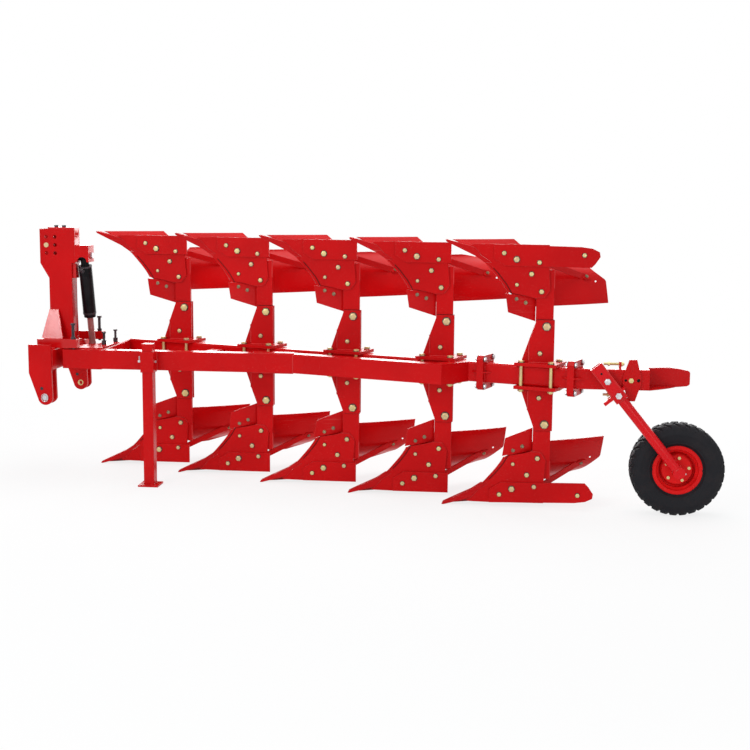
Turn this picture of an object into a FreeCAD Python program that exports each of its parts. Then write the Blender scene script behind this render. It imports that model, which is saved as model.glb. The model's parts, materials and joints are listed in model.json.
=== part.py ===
import FreeCAD, Part
import math
import os

# Reversible plough with five pairs of bodies.
# X runs rearwards, Y away from the landside of the lower bodies, Z up.
# Everything is laid out about the turnover axis (Y = 0, Z = 0) with X = 0 at the
# middle of the headstock crossbeam, and is set on the ground at the end.
V = FreeCAD.Vector
X_AXIS = V(1, 0, 0)
Y_AXIS = V(0, 1, 0)
Z_AXIS = V(0, 0, 1)
OVERRUN = 40.0
SEAT_GAP = 0.3

# Driving dimensions, in millimetres
body_count = 5
body_pitch = 650.0
furrow_width = 235.0
body_depth = 862.0
tip_reach = 639.0
skin_reach_share = 1.2363
first_leg = 810.0
first_landside = 310.0
beam_size = 130.0
beam_wall = 10.0
beam_corner = 14.0

# Headstock
cross_size = 150.0
cross_wall = 12.0
link_spread = 725.0
link_gap = 65.0
link_plate = 20.0
link_front = 85.0
link_rise = 106.0
link_drop = 257.0
link_end_radius = 52.0
link_pin_x = 28.0
link_pin_radius = 14.0
link_bush_wall = 7.0
link_pin_clearance = 0.3
link_waist = 90.0
mast_gap = 70.0
mast_plate = 18.0
mast_top = 886.0
mast_front = 118.0
mast_rear = 134.0
mast_neck_front = 56.0
mast_neck_rear = 109.0
mast_shoulder = 645.0
mast_neck = 541.0
mast_flare_top = 320.0
mast_foot_front = 110.0
mast_foot_low = 128.0
mast_foot_rear = 115.0
mast_flare_spread = 90.0
mast_flare_front = 100.0
mast_flare_rear = 10.0
mast_flare_plate = 12.0
mast_cap = 12.0
mast_back = 12.0
top_hole_radius = 13.0
top_hole_front = 70.0
top_hole_step_x = 62.0
top_hole_top = 830.0
top_hole_step_z = 57.0
stop_bar_width = 50.0
stop_bar_height = 60.0
stop_bar_side = 285.0
stop_bar_front = 60.0
stop_bar_rear = 225.0
stop_screw_x = 190.0
stop_screw_radius = 10.0
stop_screw_top = 245.0
housing_radius = 65.0
housing_front = 100.0
housing_rear = 105.0
shaft_radius = 40.0
bush_wall = 10.0
bush_length = 60.0
shaft_clearance = 0.05
shaft_nut_radius = 56.0
shaft_nut_length = 24.0

# Turnover cylinder
cylinder_x = 185.0
cylinder_pivot_z = 700.0
crank_throw = 150.0
barrel_radius = 46.0
barrel_eye_width = 69.0
barrel_eye_radius = 36.0
barrel_drop = 75.0
barrel_length = 355.0
gland_length = 22.0
barrel_bore_slack = 12.0
gland_radius = 42.0
rod_radius = 22.5
rod_eye_radius = 37.0
rod_eye_width = 50.0
rod_stroke = 150.0
cylinder_pin_radius = 15.0
pin_clearance = 0.05
bracket_lug = 15.0
bracket_top_plate = 20.0
bracket_half_width = 60.0
bracket_side = 12.0
bracket_lug_drop = 45.0
bracket_rise = 72.0
port_radius = 11.0
port_length = 26.0
crank_boss_radius = 45.0
crank_plate = 30.0
crank_disc_radius = 110.0

# Frame
near_tube_width = 85.0
near_tube_side = 310.0
frame_front = 120.0
near_bend_lag = 920.0
near_corner_lead = 1.0
near_return = 110.0
splice_length = 280.0
splice_plate = 6.0
near_arm_length = 50.0
near_arm_inner = 100.0
set_screw_places = ((335.0, -58.0), (360.0, 125.0))
cross_tube_front = 280.0
cross_tube_length = 100.0
head_plate = 10.0
beam_lead = 20.0
brace_size = 80.0
brace_wall = 6.0
brace_lag = 250.0
flange_one_lag = 276.0
flange_two_lag = 198.0
flange_plate = 22.0
flange_width = 200.0
flange_height = 224.0
flange_bolt_radius = 9.0
flange_bolt_inset = 23.0
flange_rib = 45.0
wheel_beam_tail = 461.0
end_plate = 12.0
end_plate_reach = 270.0
end_plate_kick = 52.0
end_plate_trim = 26.0

# Plough bodies, seen from the leg's centre line and the landside plane
landside_plate = 14.0
frog_plate = 16.0
stalk_thickness = 30.0
stalk_width = 112.0
stalk_top_share = 0.1508
stalk_foot_share = 0.7842
leg_plate = 15.0
clamp_plate = 20.0
clamp_length = 280.0
clamp_width = 220.0
clamp_bolt_along = 200.0
clamp_bolt_across = 166.0
clamp_bolt_radius = 11.0
clamp_hole_clearance = 1.0
pivot_bolt_radius = 14.0
shear_bolt_radius = 8.0
skin = 9.0
skin_seam = 0.6
skin_bulge_share = 0.05
share_joint_share = 0.83295
share_width_share = 0.41
share_wing_share = 0.033
share_edge = 3.0
point_width = 62.0
point_nose = 50.0
point_depth = 45.0
point_belly = 1.15
point_sole = 14.0
trash_plate = 8.0
stay_width = 38.0
stay_thickness = 10.0

# Stand
stand_lead = 68.0
stand_size = 72.0
stand_wall = 6.0
stand_top = 124.0
stand_foot = 140.0
stand_foot_plate = 12.0
stand_slack = 0.5
sleeve_wall = 9.0
sleeve_height = 142.0
stand_travel = 450.0
stand_pin_radius = 9.0

# Depth wheel
wheel_pivot_lag = 194.0
wheel_arm_slope = 50.96
wheel_radius = 295.0
wheel_width = 180.0
hub_front = 20.0
arm_side_gap = 24.0
arm_tube_radius = 32.0
arm_block_width = 84.0
arm_block_plate = 12.0
arm_block_depth = 66.0
arm_block_back = 118.0
arm_block_front = 150.0
arm_pin_radius = 18.0
arm_bolt_reach = 112.0
arm_ear_reach = 92.0
arm_ear_long = 62.0
arm_ear_short = 16.0
hub_radius = 92.0
hub_bore_radius = 34.0
hub_tail_share = 0.55
rim_disc_share = 0.20
axle_radius = 20.0
rim_radius = 140.0
rim_dish_radius = 96.0
rim_dish_depth = 30.0
rim_dish_run = 12.0
rim_wall = 6.0
rim_disc = 10.0
wheel_bolt_circle = 75.0
wheel_bolt_first = 81.0
wheel_bolt_radius = 8.0
wheel_bolt_count = 5
hex_plate = 15.0
hex_plate_lag = 151.0
hex_plate_width = 57.0
hex_plate_height = 262.0
wheel_screw_z = 98.0
wheel_screw_radius = 8.0
wheel_screw_inset = 30.0
wheel_screw_length = 95.0
wheel_lug_lead = 75.0
wheel_lug_plate = 14.0
wheel_lug_width = 46.0

# Sizes that follow from those above
half_beam = beam_size / 2
skin_reach = skin_reach_share * tip_reach
share_joint = share_joint_share * body_depth
share_width = share_width_share * tip_reach
share_wing = share_wing_share * tip_reach
last_leg = first_leg + (body_count - 1) * body_pitch
near_bend = first_leg + near_bend_lag
near_corner = last_leg - body_pitch - near_corner_lead
flange_one = last_leg - body_pitch + flange_one_lag
flange_two = last_leg + flange_two_lag
wheel_beam_end = flange_two + wheel_beam_tail
wheel_pivot_x = flange_two + wheel_pivot_lag
wheel_arm_length = (body_depth - wheel_radius) / math.sin(math.radians(wheel_arm_slope))
hex_plate_x = wheel_pivot_x + hex_plate_lag
stand_x = first_leg - stand_lead
stalk_top = stalk_top_share * body_depth
stalk_foot = stalk_foot_share * body_depth
beam_angle = math.degrees(math.atan2(furrow_width, body_pitch))
along = V(body_pitch, -furrow_width, 0).normalize()
across = V(furrow_width, body_pitch, 0).normalize()
stalk_middle = frog_plate + stalk_thickness / 2
front_edge = cross_size / 2


# Basic solids
def block(x0, x1, y0, y1, z0, z1):
    return Part.makeBox(x1 - x0, y1 - y0, z1 - z0, V(x0, y0, z0))


def prism(points, direction):
    wire = Part.makePolygon(points + [points[0]])
    return Part.Face(wire).extrude(direction)


def side_plate(outline, y0, y1):
    """A plate whose outline is given in X and Z."""
    points = [V(x, y0, z) for x, z in outline]
    return prism(points, V(0, y1 - y0, 0))


def plan_plate(outline, z0, z1):
    points = [V(x, y, z0) for x, y in outline]
    return prism(points, V(0, 0, z1 - z0))


def round_bar(start, end, radius):
    path = end - start
    return Part.makeCylinder(radius, path.Length, start, path)


def pipe(start, end, outer, inner):
    return round_bar(start, end, outer).cut(round_bar(start, end, inner))


def hex_bar(start, end, across_flats):
    path = end - start
    radius = across_flats / math.sqrt(3)
    turn = FreeCAD.Rotation(Z_AXIS, path)
    corners = []
    for step in range(6):
        angle = math.radians(60 * step)
        arm = V(radius * math.cos(angle), radius * math.sin(angle), 0)
        corners.append(start + turn.multVec(arm))
    return prism(corners, path)


def fuse(pieces):
    whole = pieces[0]
    if len(pieces) > 1:
        whole = whole.multiFuse(pieces[1:])
    return whole.removeSplitter()


def rounded_rectangle(width, height, radius):
    """A wire in the Y-Z plane about the origin."""
    w, h = width / 2, height / 2
    slim = radius * (1 - math.sqrt(0.5))
    edges = []
    for turn in range(4):
        sy, sz = ((1, 1), (-1, 1), (-1, -1), (1, -1))[turn]
        ends = [V(0, sy * w, sz * (h - radius)), V(0, sy * (w - radius), sz * h)]
        middle = V(0, sy * (w - slim), sz * (h - slim))
        if turn % 2:
            ends.reverse()
        edges.append(Part.Arc(ends[0], middle, ends[1]).toShape())
    lines = []
    for turn in range(4):
        a = edges[turn].lastVertex().Point
        b = edges[(turn + 1) % 4].firstVertex().Point
        lines.append(Part.makeLine(a, b))
    order = []
    for arc, line in zip(edges, lines):
        order += [arc, line]
    return Part.Wire(order)


def box_tube(start, end, width, height, wall, radius):
    """A rounded rectangular tube laid flat between two points."""
    path = end - start
    turn = FreeCAD.Rotation(X_AXIS, path)
    skins = []
    for inset in (0, wall):
        corner = max(radius - inset, radius / 4)
        wire = rounded_rectangle(width - 2 * inset, height - 2 * inset, corner)
        solid = Part.Face(wire).extrude(V(path.Length, 0, 0))
        solid.Placement = FreeCAD.Placement(start, turn)
        skins.append(solid)
    return skins[0].cut(skins[1])


def beyond(point, normal, size):
    """The half space that lies past a vertical plane, as a large block."""
    cube = Part.makeBox(size, 2 * size, 2 * size, V(0, -size, -size))
    cube.Placement = FreeCAD.Placement(point, FreeCAD.Rotation(X_AXIS, normal))
    return cube


def bolt(seat, direction, grip, radius, nut=True):
    """A bolt whose head sits on seat and whose shank runs along direction."""
    way = V(direction).normalize()
    head = 1.3 * radius
    flats = 3.1 * radius
    pieces = [hex_bar(seat - way * head, seat, flats)]
    reach = grip + (head + radius / 2 if nut else 0)
    pieces.append(round_bar(seat - way * (head / 2), seat + way * reach, radius))
    if nut:
        pieces.append(hex_bar(seat + way * grip, seat + way * (grip + head), flats))
    return fuse(pieces)


def hole(seat, direction, radius, depth):
    way = V(direction).normalize()
    return round_bar(seat - way * OVERRUN, seat + way * (depth + OVERRUN), radius)


# Places along the skewed beam
def beam_point(x, side=0.0, z=0.0):
    """The point of the beam's centre line at a given X, moved across the beam."""
    y = first_landside + stalk_middle - (x - first_leg + beam_lead) * furrow_width / body_pitch
    return V(x, y, z) + across * side


def body_place(number):
    return V(first_leg + number * body_pitch, first_landside - number * furrow_width, 0)


def mirrored(shape):
    return shape.mirror(V(0, 0, 0), Z_AXIS)


def at_every_body(shape, upper=False):
    side = mirrored(shape) if upper else shape
    return [side.translated(body_place(number)) for number in range(body_count)]


# Headstock, fixed to the tractor
def link_outline():
    """Side view of one lower link plate, rounded about its pin."""
    x_pin = link_pin_x
    low = -link_drop
    right = math.radians(-12)
    left = math.radians(192)
    start = V(x_pin + link_end_radius * math.cos(right), 0, low + link_end_radius * math.sin(right))
    end = V(x_pin + link_end_radius * math.cos(left), 0, low + link_end_radius * math.sin(left))
    bottom = V(x_pin, 0, low - link_end_radius)
    return start, bottom, end


def link_plate_solid(y0, top):
    start, bottom, end = link_outline()
    corners = [end, V(-link_front, 0, -link_waist), V(-link_front, 0, top)]
    corners += [V(front_edge, 0, top), V(front_edge, 0, -link_waist), start]
    edges = [Part.makeLine(corners[i], corners[i + 1]) for i in range(len(corners) - 1)]
    edges.append(Part.Arc(start, bottom, end).toShape())
    face = Part.Face(Part.Wire(edges))
    plate = face.extrude(V(0, link_plate, 0))
    plate.translate(V(0, y0, 0))
    seat = V(link_pin_x, y0, -link_drop)
    return plate.cut(hole(seat, Y_AXIS, link_bore_radius(), link_plate))


def link_bore_radius():
    return link_pin_radius + link_bush_wall


def link_sides():
    """Y of the inner face of each plate of the two pairs."""
    inner = link_spread / 2 - link_gap / 2 - link_plate
    outer = link_spread / 2 + link_gap / 2
    return inner, outer


def link_plates():
    inner, outer = link_sides()
    plates = []
    for side in (-1, 1):
        for near, top in ((inner, -cross_size / 2), (outer, link_rise)):
            y0 = near if side > 0 else -near - link_plate
            plates.append(link_plate_solid(y0, top))
    return plates


def link_bushes():
    inner, outer = link_sides()
    rings = []
    for side in (-1, 1):
        for near in (inner, outer):
            start = V(link_pin_x, side * near, -link_drop)
            end = V(link_pin_x, side * (near + link_plate), -link_drop)
            rings.append(pipe(start, end, link_bore_radius(), link_pin_radius + link_pin_clearance))
    return rings


def link_pin():
    """Pin in the near pair, with a collar outside and a clip inside."""
    inner, outer = link_sides()
    tail = link_pin_radius
    far_end = V(link_pin_x, -inner + tail, -link_drop)
    near_end = V(link_pin_x, -outer - link_plate - tail, -link_drop)
    collar = V(link_pin_x, -outer - link_plate, -link_drop)
    clip = V(link_pin_x, -inner, -link_drop)
    way = V(0, tail / 2, 0)
    pieces = [round_bar(far_end, near_end, link_pin_radius)]
    pieces.append(round_bar(collar, collar - way, link_bore_radius()))
    pieces.append(round_bar(clip, clip + way, link_bore_radius()))
    return fuse(pieces)


def crossbeam():
    outer = link_sides()[1]
    tube = box_tube(V(0, -outer, 0), V(0, outer, 0), cross_size, cross_size, cross_wall, beam_corner)
    bore = round_bar(V(-cross_size, 0, 0), V(cross_size, 0, 0), housing_radius)
    return tube.cut(bore)


def bearing_housing():
    return pipe(V(-housing_front, 0, 0), V(housing_rear, 0, 0), housing_radius, shaft_radius + bush_wall)


def bearing_bushes():
    inner = shaft_radius + shaft_clearance
    outer = shaft_radius + bush_wall
    front = pipe(V(-housing_front, 0, 0), V(-housing_front + bush_length, 0, 0), outer, inner)
    rear = pipe(V(housing_rear - bush_length, 0, 0), V(housing_rear, 0, 0), outer, inner)
    return [front, rear]


def mast_outline():
    foot = cross_size / 2
    return [
        (-foot, foot),
        (-mast_foot_front, foot + stop_bar_height / 4),
        (-mast_foot_front, mast_foot_low),
        (-mast_neck_front, mast_flare_top),
        (-mast_neck_front, mast_neck),
        (-mast_front, mast_shoulder),
        (-mast_front, mast_top),
        (mast_rear, mast_top),
        (mast_rear, mast_shoulder),
        (mast_neck_rear, mast_shoulder),
        (mast_neck_rear, mast_flare_top),
        (mast_foot_rear, mast_foot_low),
        (foot, foot),
    ]


def top_holes():
    places = []
    for column in range(2):
        for row in range(3):
            x = -top_hole_front + column * top_hole_step_x
            z = top_hole_top - row * top_hole_step_z
            places.append((x, z))
    return places


def mast_plates():
    plates = []
    for side in (-1, 1):
        y0 = mast_gap / 2 if side > 0 else -mast_gap / 2 - mast_plate
        plate = side_plate(mast_outline(), y0, y0 + mast_plate)
        for x, z in top_holes():
            plate = plate.cut(hole(V(x, y0, z), Y_AXIS, top_hole_radius, mast_plate))
        plates.append(plate)
    return plates


def mast_core():
    """Cap, back plate and the flared feet that tie the two mast plates."""
    half = mast_gap / 2
    outer = half + mast_plate
    cap = block(-mast_neck_front, mast_rear, -outer, outer, mast_top, mast_top + mast_cap)
    back = block(mast_neck_rear - mast_back, mast_neck_rear, -half, half, cross_size / 2, mast_neck)
    spacer = block(mast_neck_front, mast_rear, -half, half, mast_neck, mast_top)
    pieces = [cap, fuse([back, spacer])]
    foot = cross_size / 2 + SEAT_GAP
    for side in (-1, 1):
        wires = []
        for z, y, front, rear in (
            (mast_flare_top, outer, mast_neck_front, mast_flare_rear),
            (foot, outer + mast_flare_spread, mast_flare_front, front_edge),
        ):
            y0, y1 = side * y, side * (y + mast_flare_plate)
            corners = [V(-front, y0, z), V(rear, y0, z), V(rear, y1, z), V(-front, y1, z)]
            wires.append(Part.makePolygon(corners + [corners[0]]))
        pieces.append(Part.makeLoft(wires, True, True))
    return pieces


def mast_bolts():
    seat_z = mast_top + mast_cap
    bolts = []
    for x in (-mast_neck_front / 4, mast_neck_front * 3 / 4):
        base = V(x, 0, seat_z)
        bolts.append(hex_bar(base, base + V(0, 0, top_hole_radius), 2 * top_hole_radius))
    return bolts


def top_link_pin():
    outer = mast_gap / 2 + mast_plate
    z = top_hole_top - top_hole_step_z
    head = top_hole_radius / 2
    near = V(-top_hole_front, -outer, z)
    way = V(0, head, 0)
    radius = top_hole_radius - link_pin_clearance
    pin = round_bar(near - way, V(-top_hole_front, outer + head, z), radius)
    cap = round_bar(near - way, near, 1.3 * top_hole_radius)
    return fuse([pin, cap])


def cylinder_bracket():
    """Two lugs along the cylinder's pin, a roof, and cheeks with round cut-outs."""
    front = mast_rear
    rear = cylinder_x + barrel_eye_width / 2 + SEAT_GAP + bracket_lug
    roof_low = cylinder_pivot_z + bracket_rise - bracket_top_plate
    low = cylinder_pivot_z - bracket_lug_drop
    half = bracket_half_width
    roof = block(front, rear, -half, half, roof_low, roof_low + bracket_top_plate)
    front_lug = block(front, front + bracket_lug - SEAT_GAP, -half, half, low, roof_low)
    rear_lug = block(rear - bracket_lug, rear, -half, half, low, roof_low)
    pieces = [roof, front_lug, rear_lug]
    for side in (-1, 1):
        y0 = half - bracket_side if side > 0 else -half
        cheek = block(front, rear, y0, y0 + bracket_side, low, roof_low)
        eye = V(cylinder_x, y0, low)
        pieces.append(cheek.cut(hole(eye, Y_AXIS, barrel_eye_radius, bracket_side)))
    whole = fuse(pieces)
    bore_radius = cylinder_pin_radius + pin_clearance
    return whole.cut(hole(V(front, 0, cylinder_pivot_z), X_AXIS, bore_radius, rear - front))


def cylinder_pin():
    front = mast_rear + SEAT_GAP
    rear = cylinder_x + barrel_eye_width / 2 + SEAT_GAP + bracket_lug
    start, end = V(front, 0, cylinder_pivot_z), V(rear + cylinder_pin_radius, 0, cylinder_pivot_z)
    pin = round_bar(start, end, cylinder_pin_radius)
    nut = hex_bar(V(rear, 0, cylinder_pivot_z), end, 2.6 * cylinder_pin_radius)
    return fuse([pin, nut])


def stop_bar_base():
    return cross_size / 2


def stop_bars():
    bars = []
    base = stop_bar_base()
    half = stop_bar_width / 2
    for side in (-1, 1):
        y = side * stop_bar_side
        bar = block(-stop_bar_front, stop_bar_rear, y - half, y + half, base, base + stop_bar_height)
        bars.append(bar.cut(hole(V(stop_screw_x, y, base), Z_AXIS, stop_screw_radius, stop_bar_height)))
    return bars


def stop_screws():
    screws = []
    top_of_bar = stop_bar_base() + stop_bar_height
    head = 1.3 * stop_screw_radius
    for side in (-1, 1):
        y = side * stop_bar_side
        foot = V(stop_screw_x, y, half_beam + SEAT_GAP)
        top = V(stop_screw_x, y, stop_screw_top)
        shank = round_bar(foot, top, stop_screw_radius)
        cap = hex_bar(top - V(0, 0, head), top, 3 * stop_screw_radius)
        nut_seat = V(stop_screw_x, y, top_of_bar)
        nut = hex_bar(nut_seat, nut_seat + V(0, 0, 1.6 * stop_screw_radius), 3 * stop_screw_radius)
        screws.append(fuse([shank, cap, nut]))
    return screws


# Turnover cylinder, drawn upright and tilted to its crank
def cylinder_tilt():
    return math.degrees(math.atan2(crank_throw, cylinder_pivot_z))


def cylinder_reach():
    return math.hypot(crank_throw, cylinder_pivot_z)


def tilted(shape):
    turned = shape.copy()
    turned.rotate(V(cylinder_x, 0, cylinder_pivot_z), X_AXIS, cylinder_tilt())
    return turned


def cylinder_barrel():
    top = V(cylinder_x, 0, cylinder_pivot_z)
    half = barrel_eye_width / 2
    eye = round_bar(top - V(half, 0, 0), top + V(half, 0, 0), barrel_eye_radius)
    neck = round_bar(top - V(0, 0, barrel_drop), top, 0.8 * barrel_eye_radius)
    body = round_bar(top - V(0, 0, barrel_drop + barrel_length), top - V(0, 0, barrel_drop), barrel_radius)
    ports = []
    for drop, way in ((barrel_drop + 2 * port_radius, -1), (barrel_drop + barrel_length / 5, 1)):
        start = top - V(0, 0, drop)
        ports.append(round_bar(start, start + V(0, way * (barrel_radius + port_length), 0), port_radius))
    whole = fuse([eye, neck, body] + ports)
    whole = whole.cut(hole(top - V(half, 0, 0), X_AXIS, cylinder_pin_radius + pin_clearance, 2 * half))
    low = top - V(0, 0, barrel_drop + barrel_length)
    bore_top = low + V(0, 0, rod_stroke + 2 * OVERRUN)
    bore = round_bar(low - V(0, 0, OVERRUN), bore_top, rod_radius + barrel_bore_slack)
    return tilted(whole.cut(bore))


def cylinder_gland():
    low = V(cylinder_x, 0, cylinder_pivot_z - barrel_drop - barrel_length)
    ring = pipe(low - V(0, 0, gland_length), low, gland_radius, rod_radius + pin_clearance)
    return tilted(ring)


def cylinder_rod():
    """Rod with the eye that is welded to its foot."""
    foot = V(cylinder_x, 0, cylinder_pivot_z - cylinder_reach())
    inside = V(cylinder_x, 0, cylinder_pivot_z - barrel_drop - barrel_length + OVERRUN / 2)
    root = foot + V(0, 0, rod_eye_radius / 2)
    rod = round_bar(root, inside, rod_radius)
    half = V(rod_eye_width / 2, 0, 0)
    eye = round_bar(foot - half, foot + half, rod_eye_radius)
    socket = round_bar(root, foot + V(0, 0, 2 * rod_eye_radius), 1.08 * rod_radius)
    bore = hole(foot - half, X_AXIS, cylinder_pin_radius, rod_eye_width)
    return tilted(fuse([rod, eye, socket]).cut(bore))


def rod_pin():
    foot = V(cylinder_x, 0, cylinder_pivot_z - cylinder_reach())
    front = V(frame_front + crank_plate + SEAT_GAP, foot.y, foot.z)
    rear = V(cylinder_x + rod_eye_width / 2, foot.y, foot.z)
    pin = round_bar(front, rear + V(cylinder_pin_radius, 0, 0), cylinder_pin_radius)
    cap = hex_bar(rear, rear + V(cylinder_pin_radius, 0, 0), 2.6 * cylinder_pin_radius)
    return tilted(fuse([pin, cap]))


# Turning frame
def turnover_shaft():
    """Shaft, crank plate with its near arm, and the boss that faces the rod pin."""
    shaft = round_bar(V(-housing_front - shaft_nut_length, 0, 0), V(frame_front, 0, 0), shaft_radius)
    rear = V(crank_plate, 0, 0)
    disc = round_bar(V(frame_front, 0, 0), V(frame_front, 0, 0) + rear, crank_disc_radius)
    ear = round_bar(V(frame_front, crank_throw, 0), V(frame_front, crank_throw, 0) + rear, crank_boss_radius)
    web = block(frame_front, frame_front + crank_plate, 0, crank_throw, -crank_boss_radius, crank_boss_radius)
    inner = near_tube_side - near_tube_width
    arm = block(frame_front, frame_front + crank_plate, -inner, 0, -half_beam, half_beam)
    return fuse([shaft, disc, ear, web, arm])


def shaft_nut():
    start = V(-housing_front - shaft_nut_length, 0, 0)
    end = V(-housing_front - SEAT_GAP, 0, 0)
    ring = hex_bar(start, end, 2 * shaft_nut_radius)
    return ring.cut(round_bar(start - V(OVERRUN, 0, 0), end + V(OVERRUN, 0, 0), shaft_radius))


def near_line(x, inward):
    """Y of the near tube, measured inward from its outer face."""
    y = -near_tube_side + inward
    if x > near_bend:
        y -= (x - near_bend) * furrow_width / body_pitch
    return y


def near_tube():
    """Plan outline with its two bends, hollowed by its wall."""
    slim = near_tube_width / 2
    corner_outer = V(near_corner, near_line(near_corner, 0), 0)
    weld = beam_point(near_corner + near_return, -half_beam)
    layers = []
    for inset in (0, beam_wall):
        wide = near_tube_width - inset
        start = frame_front - (OVERRUN if inset else 0)
        outer = [V(start, near_line(0, inset), 0), V(near_bend, near_line(0, inset), 0)]
        outer.append(corner_outer + across * inset - along * (inset / 2))
        outer.append(weld + along * (near_tube_width - inset))
        inner = [weld + along * inset]
        inner.append(V(near_corner - slim, near_line(near_corner - slim, wide), 0))
        inner.append(V(near_bend, near_line(0, wide), 0))
        inner.append(V(start, near_line(0, wide), 0))
        low = V(0, 0, -half_beam + inset)
        points = [point + low for point in outer + inner]
        layers.append(prism(points, V(0, 0, beam_size - 2 * inset)))
    shell = layers[0].cut(layers[1])
    splice_front = near_bend - splice_length
    plates = []
    for side in (-1, 1):
        z0 = half_beam if side > 0 else -half_beam - splice_plate
        near, far = near_line(0, beam_wall), near_line(0, near_tube_width - beam_wall)
        plates.append(block(splice_front, near_bend, near, far, z0, z0 + splice_plate))
    return fuse([shell] + plates)


def main_beam():
    start = beam_point(cross_tube_front)
    end = beam_point(flange_one) - along * flange_plate
    tube = box_tube(start - along * beam_size, end, beam_size, beam_size, beam_wall, beam_corner)
    return tube.cut(beyond(V(cross_tube_front + cross_tube_length, 0, 0), V(-1, 0, 0), body_pitch * 2))


def cross_tubes():
    """Front cross tube, near arm and the braces between the two long tubes."""
    inner = -near_tube_side + near_tube_width
    rear = cross_tube_front + cross_tube_length
    far = beam_point(rear, half_beam).y
    middle = cross_tube_front + cross_tube_length / 2
    ends = (V(middle, inner, 0), V(middle, far, 0))
    tube = box_tube(ends[0], ends[1], cross_tube_length, beam_size, beam_wall, beam_corner)
    arm_start = frame_front + crank_plate
    arm_end = arm_start + near_arm_length
    spine_side = -near_arm_inner - near_arm_length
    arm = block(arm_start, arm_end, inner, -near_arm_inner, -half_beam, half_beam)
    spine = block(arm_end, cross_tube_front, inner, spine_side, -half_beam, half_beam)
    pieces = [tube, fuse([arm, spine])]
    for number in range(3):
        x = first_leg + brace_lag + number * body_pitch
        near = V(x, near_line(x, near_tube_width), 0)
        top = beam_point(x + brace_size, -half_beam)
        path = (top - near).normalize()
        ends = (near - path * brace_size, top + path * brace_size)
        brace = box_tube(ends[0], ends[1], brace_size, brace_size, brace_wall, brace_wall)
        brace = brace.cut(beyond(beam_point(x, -half_beam), across, body_pitch * 2))
        if x < near_bend:
            brace = brace.cut(beyond(V(x, near_line(x, near_tube_width), 0), V(0, -1, 0), body_pitch * 2))
        else:
            brace = brace.cut(beyond(V(x, near_line(x, near_tube_width), 0), across * -1, body_pitch * 2))
        pieces.append(brace)
    return pieces


def head_plates():
    """Plates over and under the turning head, with the pocket left open."""
    inner = -near_tube_side + near_tube_width / 2
    rear = cross_tube_front + cross_tube_length
    front = frame_front + crank_plate
    plates = []
    for side in (-1, 1):
        z0 = half_beam if side > 0 else -half_beam - head_plate
        outline = [(front, inner), (front, -near_arm_inner - near_arm_length / 2)]
        outline += [(cross_tube_front, 0.0), (cross_tube_front, crank_throw)]
        outline += [(rear, crank_throw), (rear, inner)]
        plate = plan_plate(outline, z0, z0 + head_plate)
        pocket = V(cross_tube_front - near_arm_length / 2, -near_arm_inner, z0)
        plates.append(plate.cut(hole(pocket, Z_AXIS, near_arm_length * 0.6, head_plate)))
    return plates


def set_screws():
    """Screws that stand on the turning head, one by the pocket and one near the beam."""
    base = half_beam + head_plate
    screws = []
    for x, y in set_screw_places:
        foot = V(x, y, base)
        boss = hex_bar(foot, foot + V(0, 0, 3 * stop_screw_radius), 3 * stop_screw_radius)
        shank = round_bar(foot, foot + V(0, 0, 9 * stop_screw_radius), 0.8 * stop_screw_radius)
        top = foot + V(0, 0, 9 * stop_screw_radius)
        head = hex_bar(top - V(0, 0, stop_screw_radius), top, 2.6 * stop_screw_radius)
        screws.append(fuse([boss, shank, head]))
    return screws


# Bolted flanges of the beam
def flange_places():
    """Each face pair as (point on the joint, sign along the beam)."""
    places = []
    for x in (flange_one, flange_two):
        for side in (-1, 1):
            places.append((beam_point(x), side))
    return places


def flange_bolt_places():
    across_beam = flange_width / 2 - flange_bolt_inset
    upright = flange_height / 2 - flange_bolt_inset
    return [(dy * across_beam, dz * upright) for dy in (-1, 1) for dz in (-1, 1)]


def flange_solid(point, side):
    turn = FreeCAD.Rotation(X_AXIS, along)
    half_w, half_h = flange_width / 2, flange_height / 2
    chamfer = flange_bolt_inset
    outline = []
    for sy, sz in ((-1, -1), (1, -1), (1, 1), (-1, 1)):
        side_corner = (sy * half_w, sz * (half_h - chamfer))
        end_corner = (sy * (half_w - chamfer), sz * half_h)
        outline += [side_corner, end_corner] if sy == sz else [end_corner, side_corner]
    plate = prism([V(0, y, z) for y, z in outline], V(side * flange_plate, 0, 0))
    face = side * flange_plate
    ribs = []
    for y in (-1, 1):
        corners = [V(face, y * half_w, 0), V(face, y * half_beam, 0)]
        corners.append(V(face + side * flange_rib, y * half_beam, 0))
        ribs.append(prism(corners, V(0, 0, beam_wall)))
    plate = fuse([plate] + ribs)
    radius = flange_bolt_radius + clamp_hole_clearance
    for y, z in flange_bolt_places():
        plate = plate.cut(hole(V(0, y, z), V(side, 0, 0), radius, flange_plate))
    plate.Placement = FreeCAD.Placement(point, turn)
    return plate


def flanges():
    """Flange plates; the rearmost one is cut to fit round the wheel beam."""
    y = wheel_beam_y()
    beam_space = block(flange_two, wheel_beam_end, y - half_beam, y + half_beam, -half_beam, half_beam)
    plates = [flange_solid(point, side) for point, side in flange_places()]
    face = beam_point(flange_two) + along * flange_plate
    return plates[:-1] + [plates[-1].cut(beam_space.common(beyond(face, along, body_pitch)))]


def flange_bolts():
    bolts = []
    turn = FreeCAD.Rotation(X_AXIS, along)
    for x in (flange_one, flange_two):
        for y, z in flange_bolt_places():
            seat = beam_point(x) + turn.multVec(V(flange_plate, y, z))
            bolts.append(bolt(seat, along * -1, 2 * flange_plate, flange_bolt_radius))
    return bolts


def rear_beam():
    start = beam_point(flange_one) + along * flange_plate
    end = beam_point(flange_two) - along * flange_plate
    return box_tube(start, end, beam_size, beam_size, beam_wall, beam_corner)


def wheel_beam_y():
    return beam_point(flange_two).y


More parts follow.
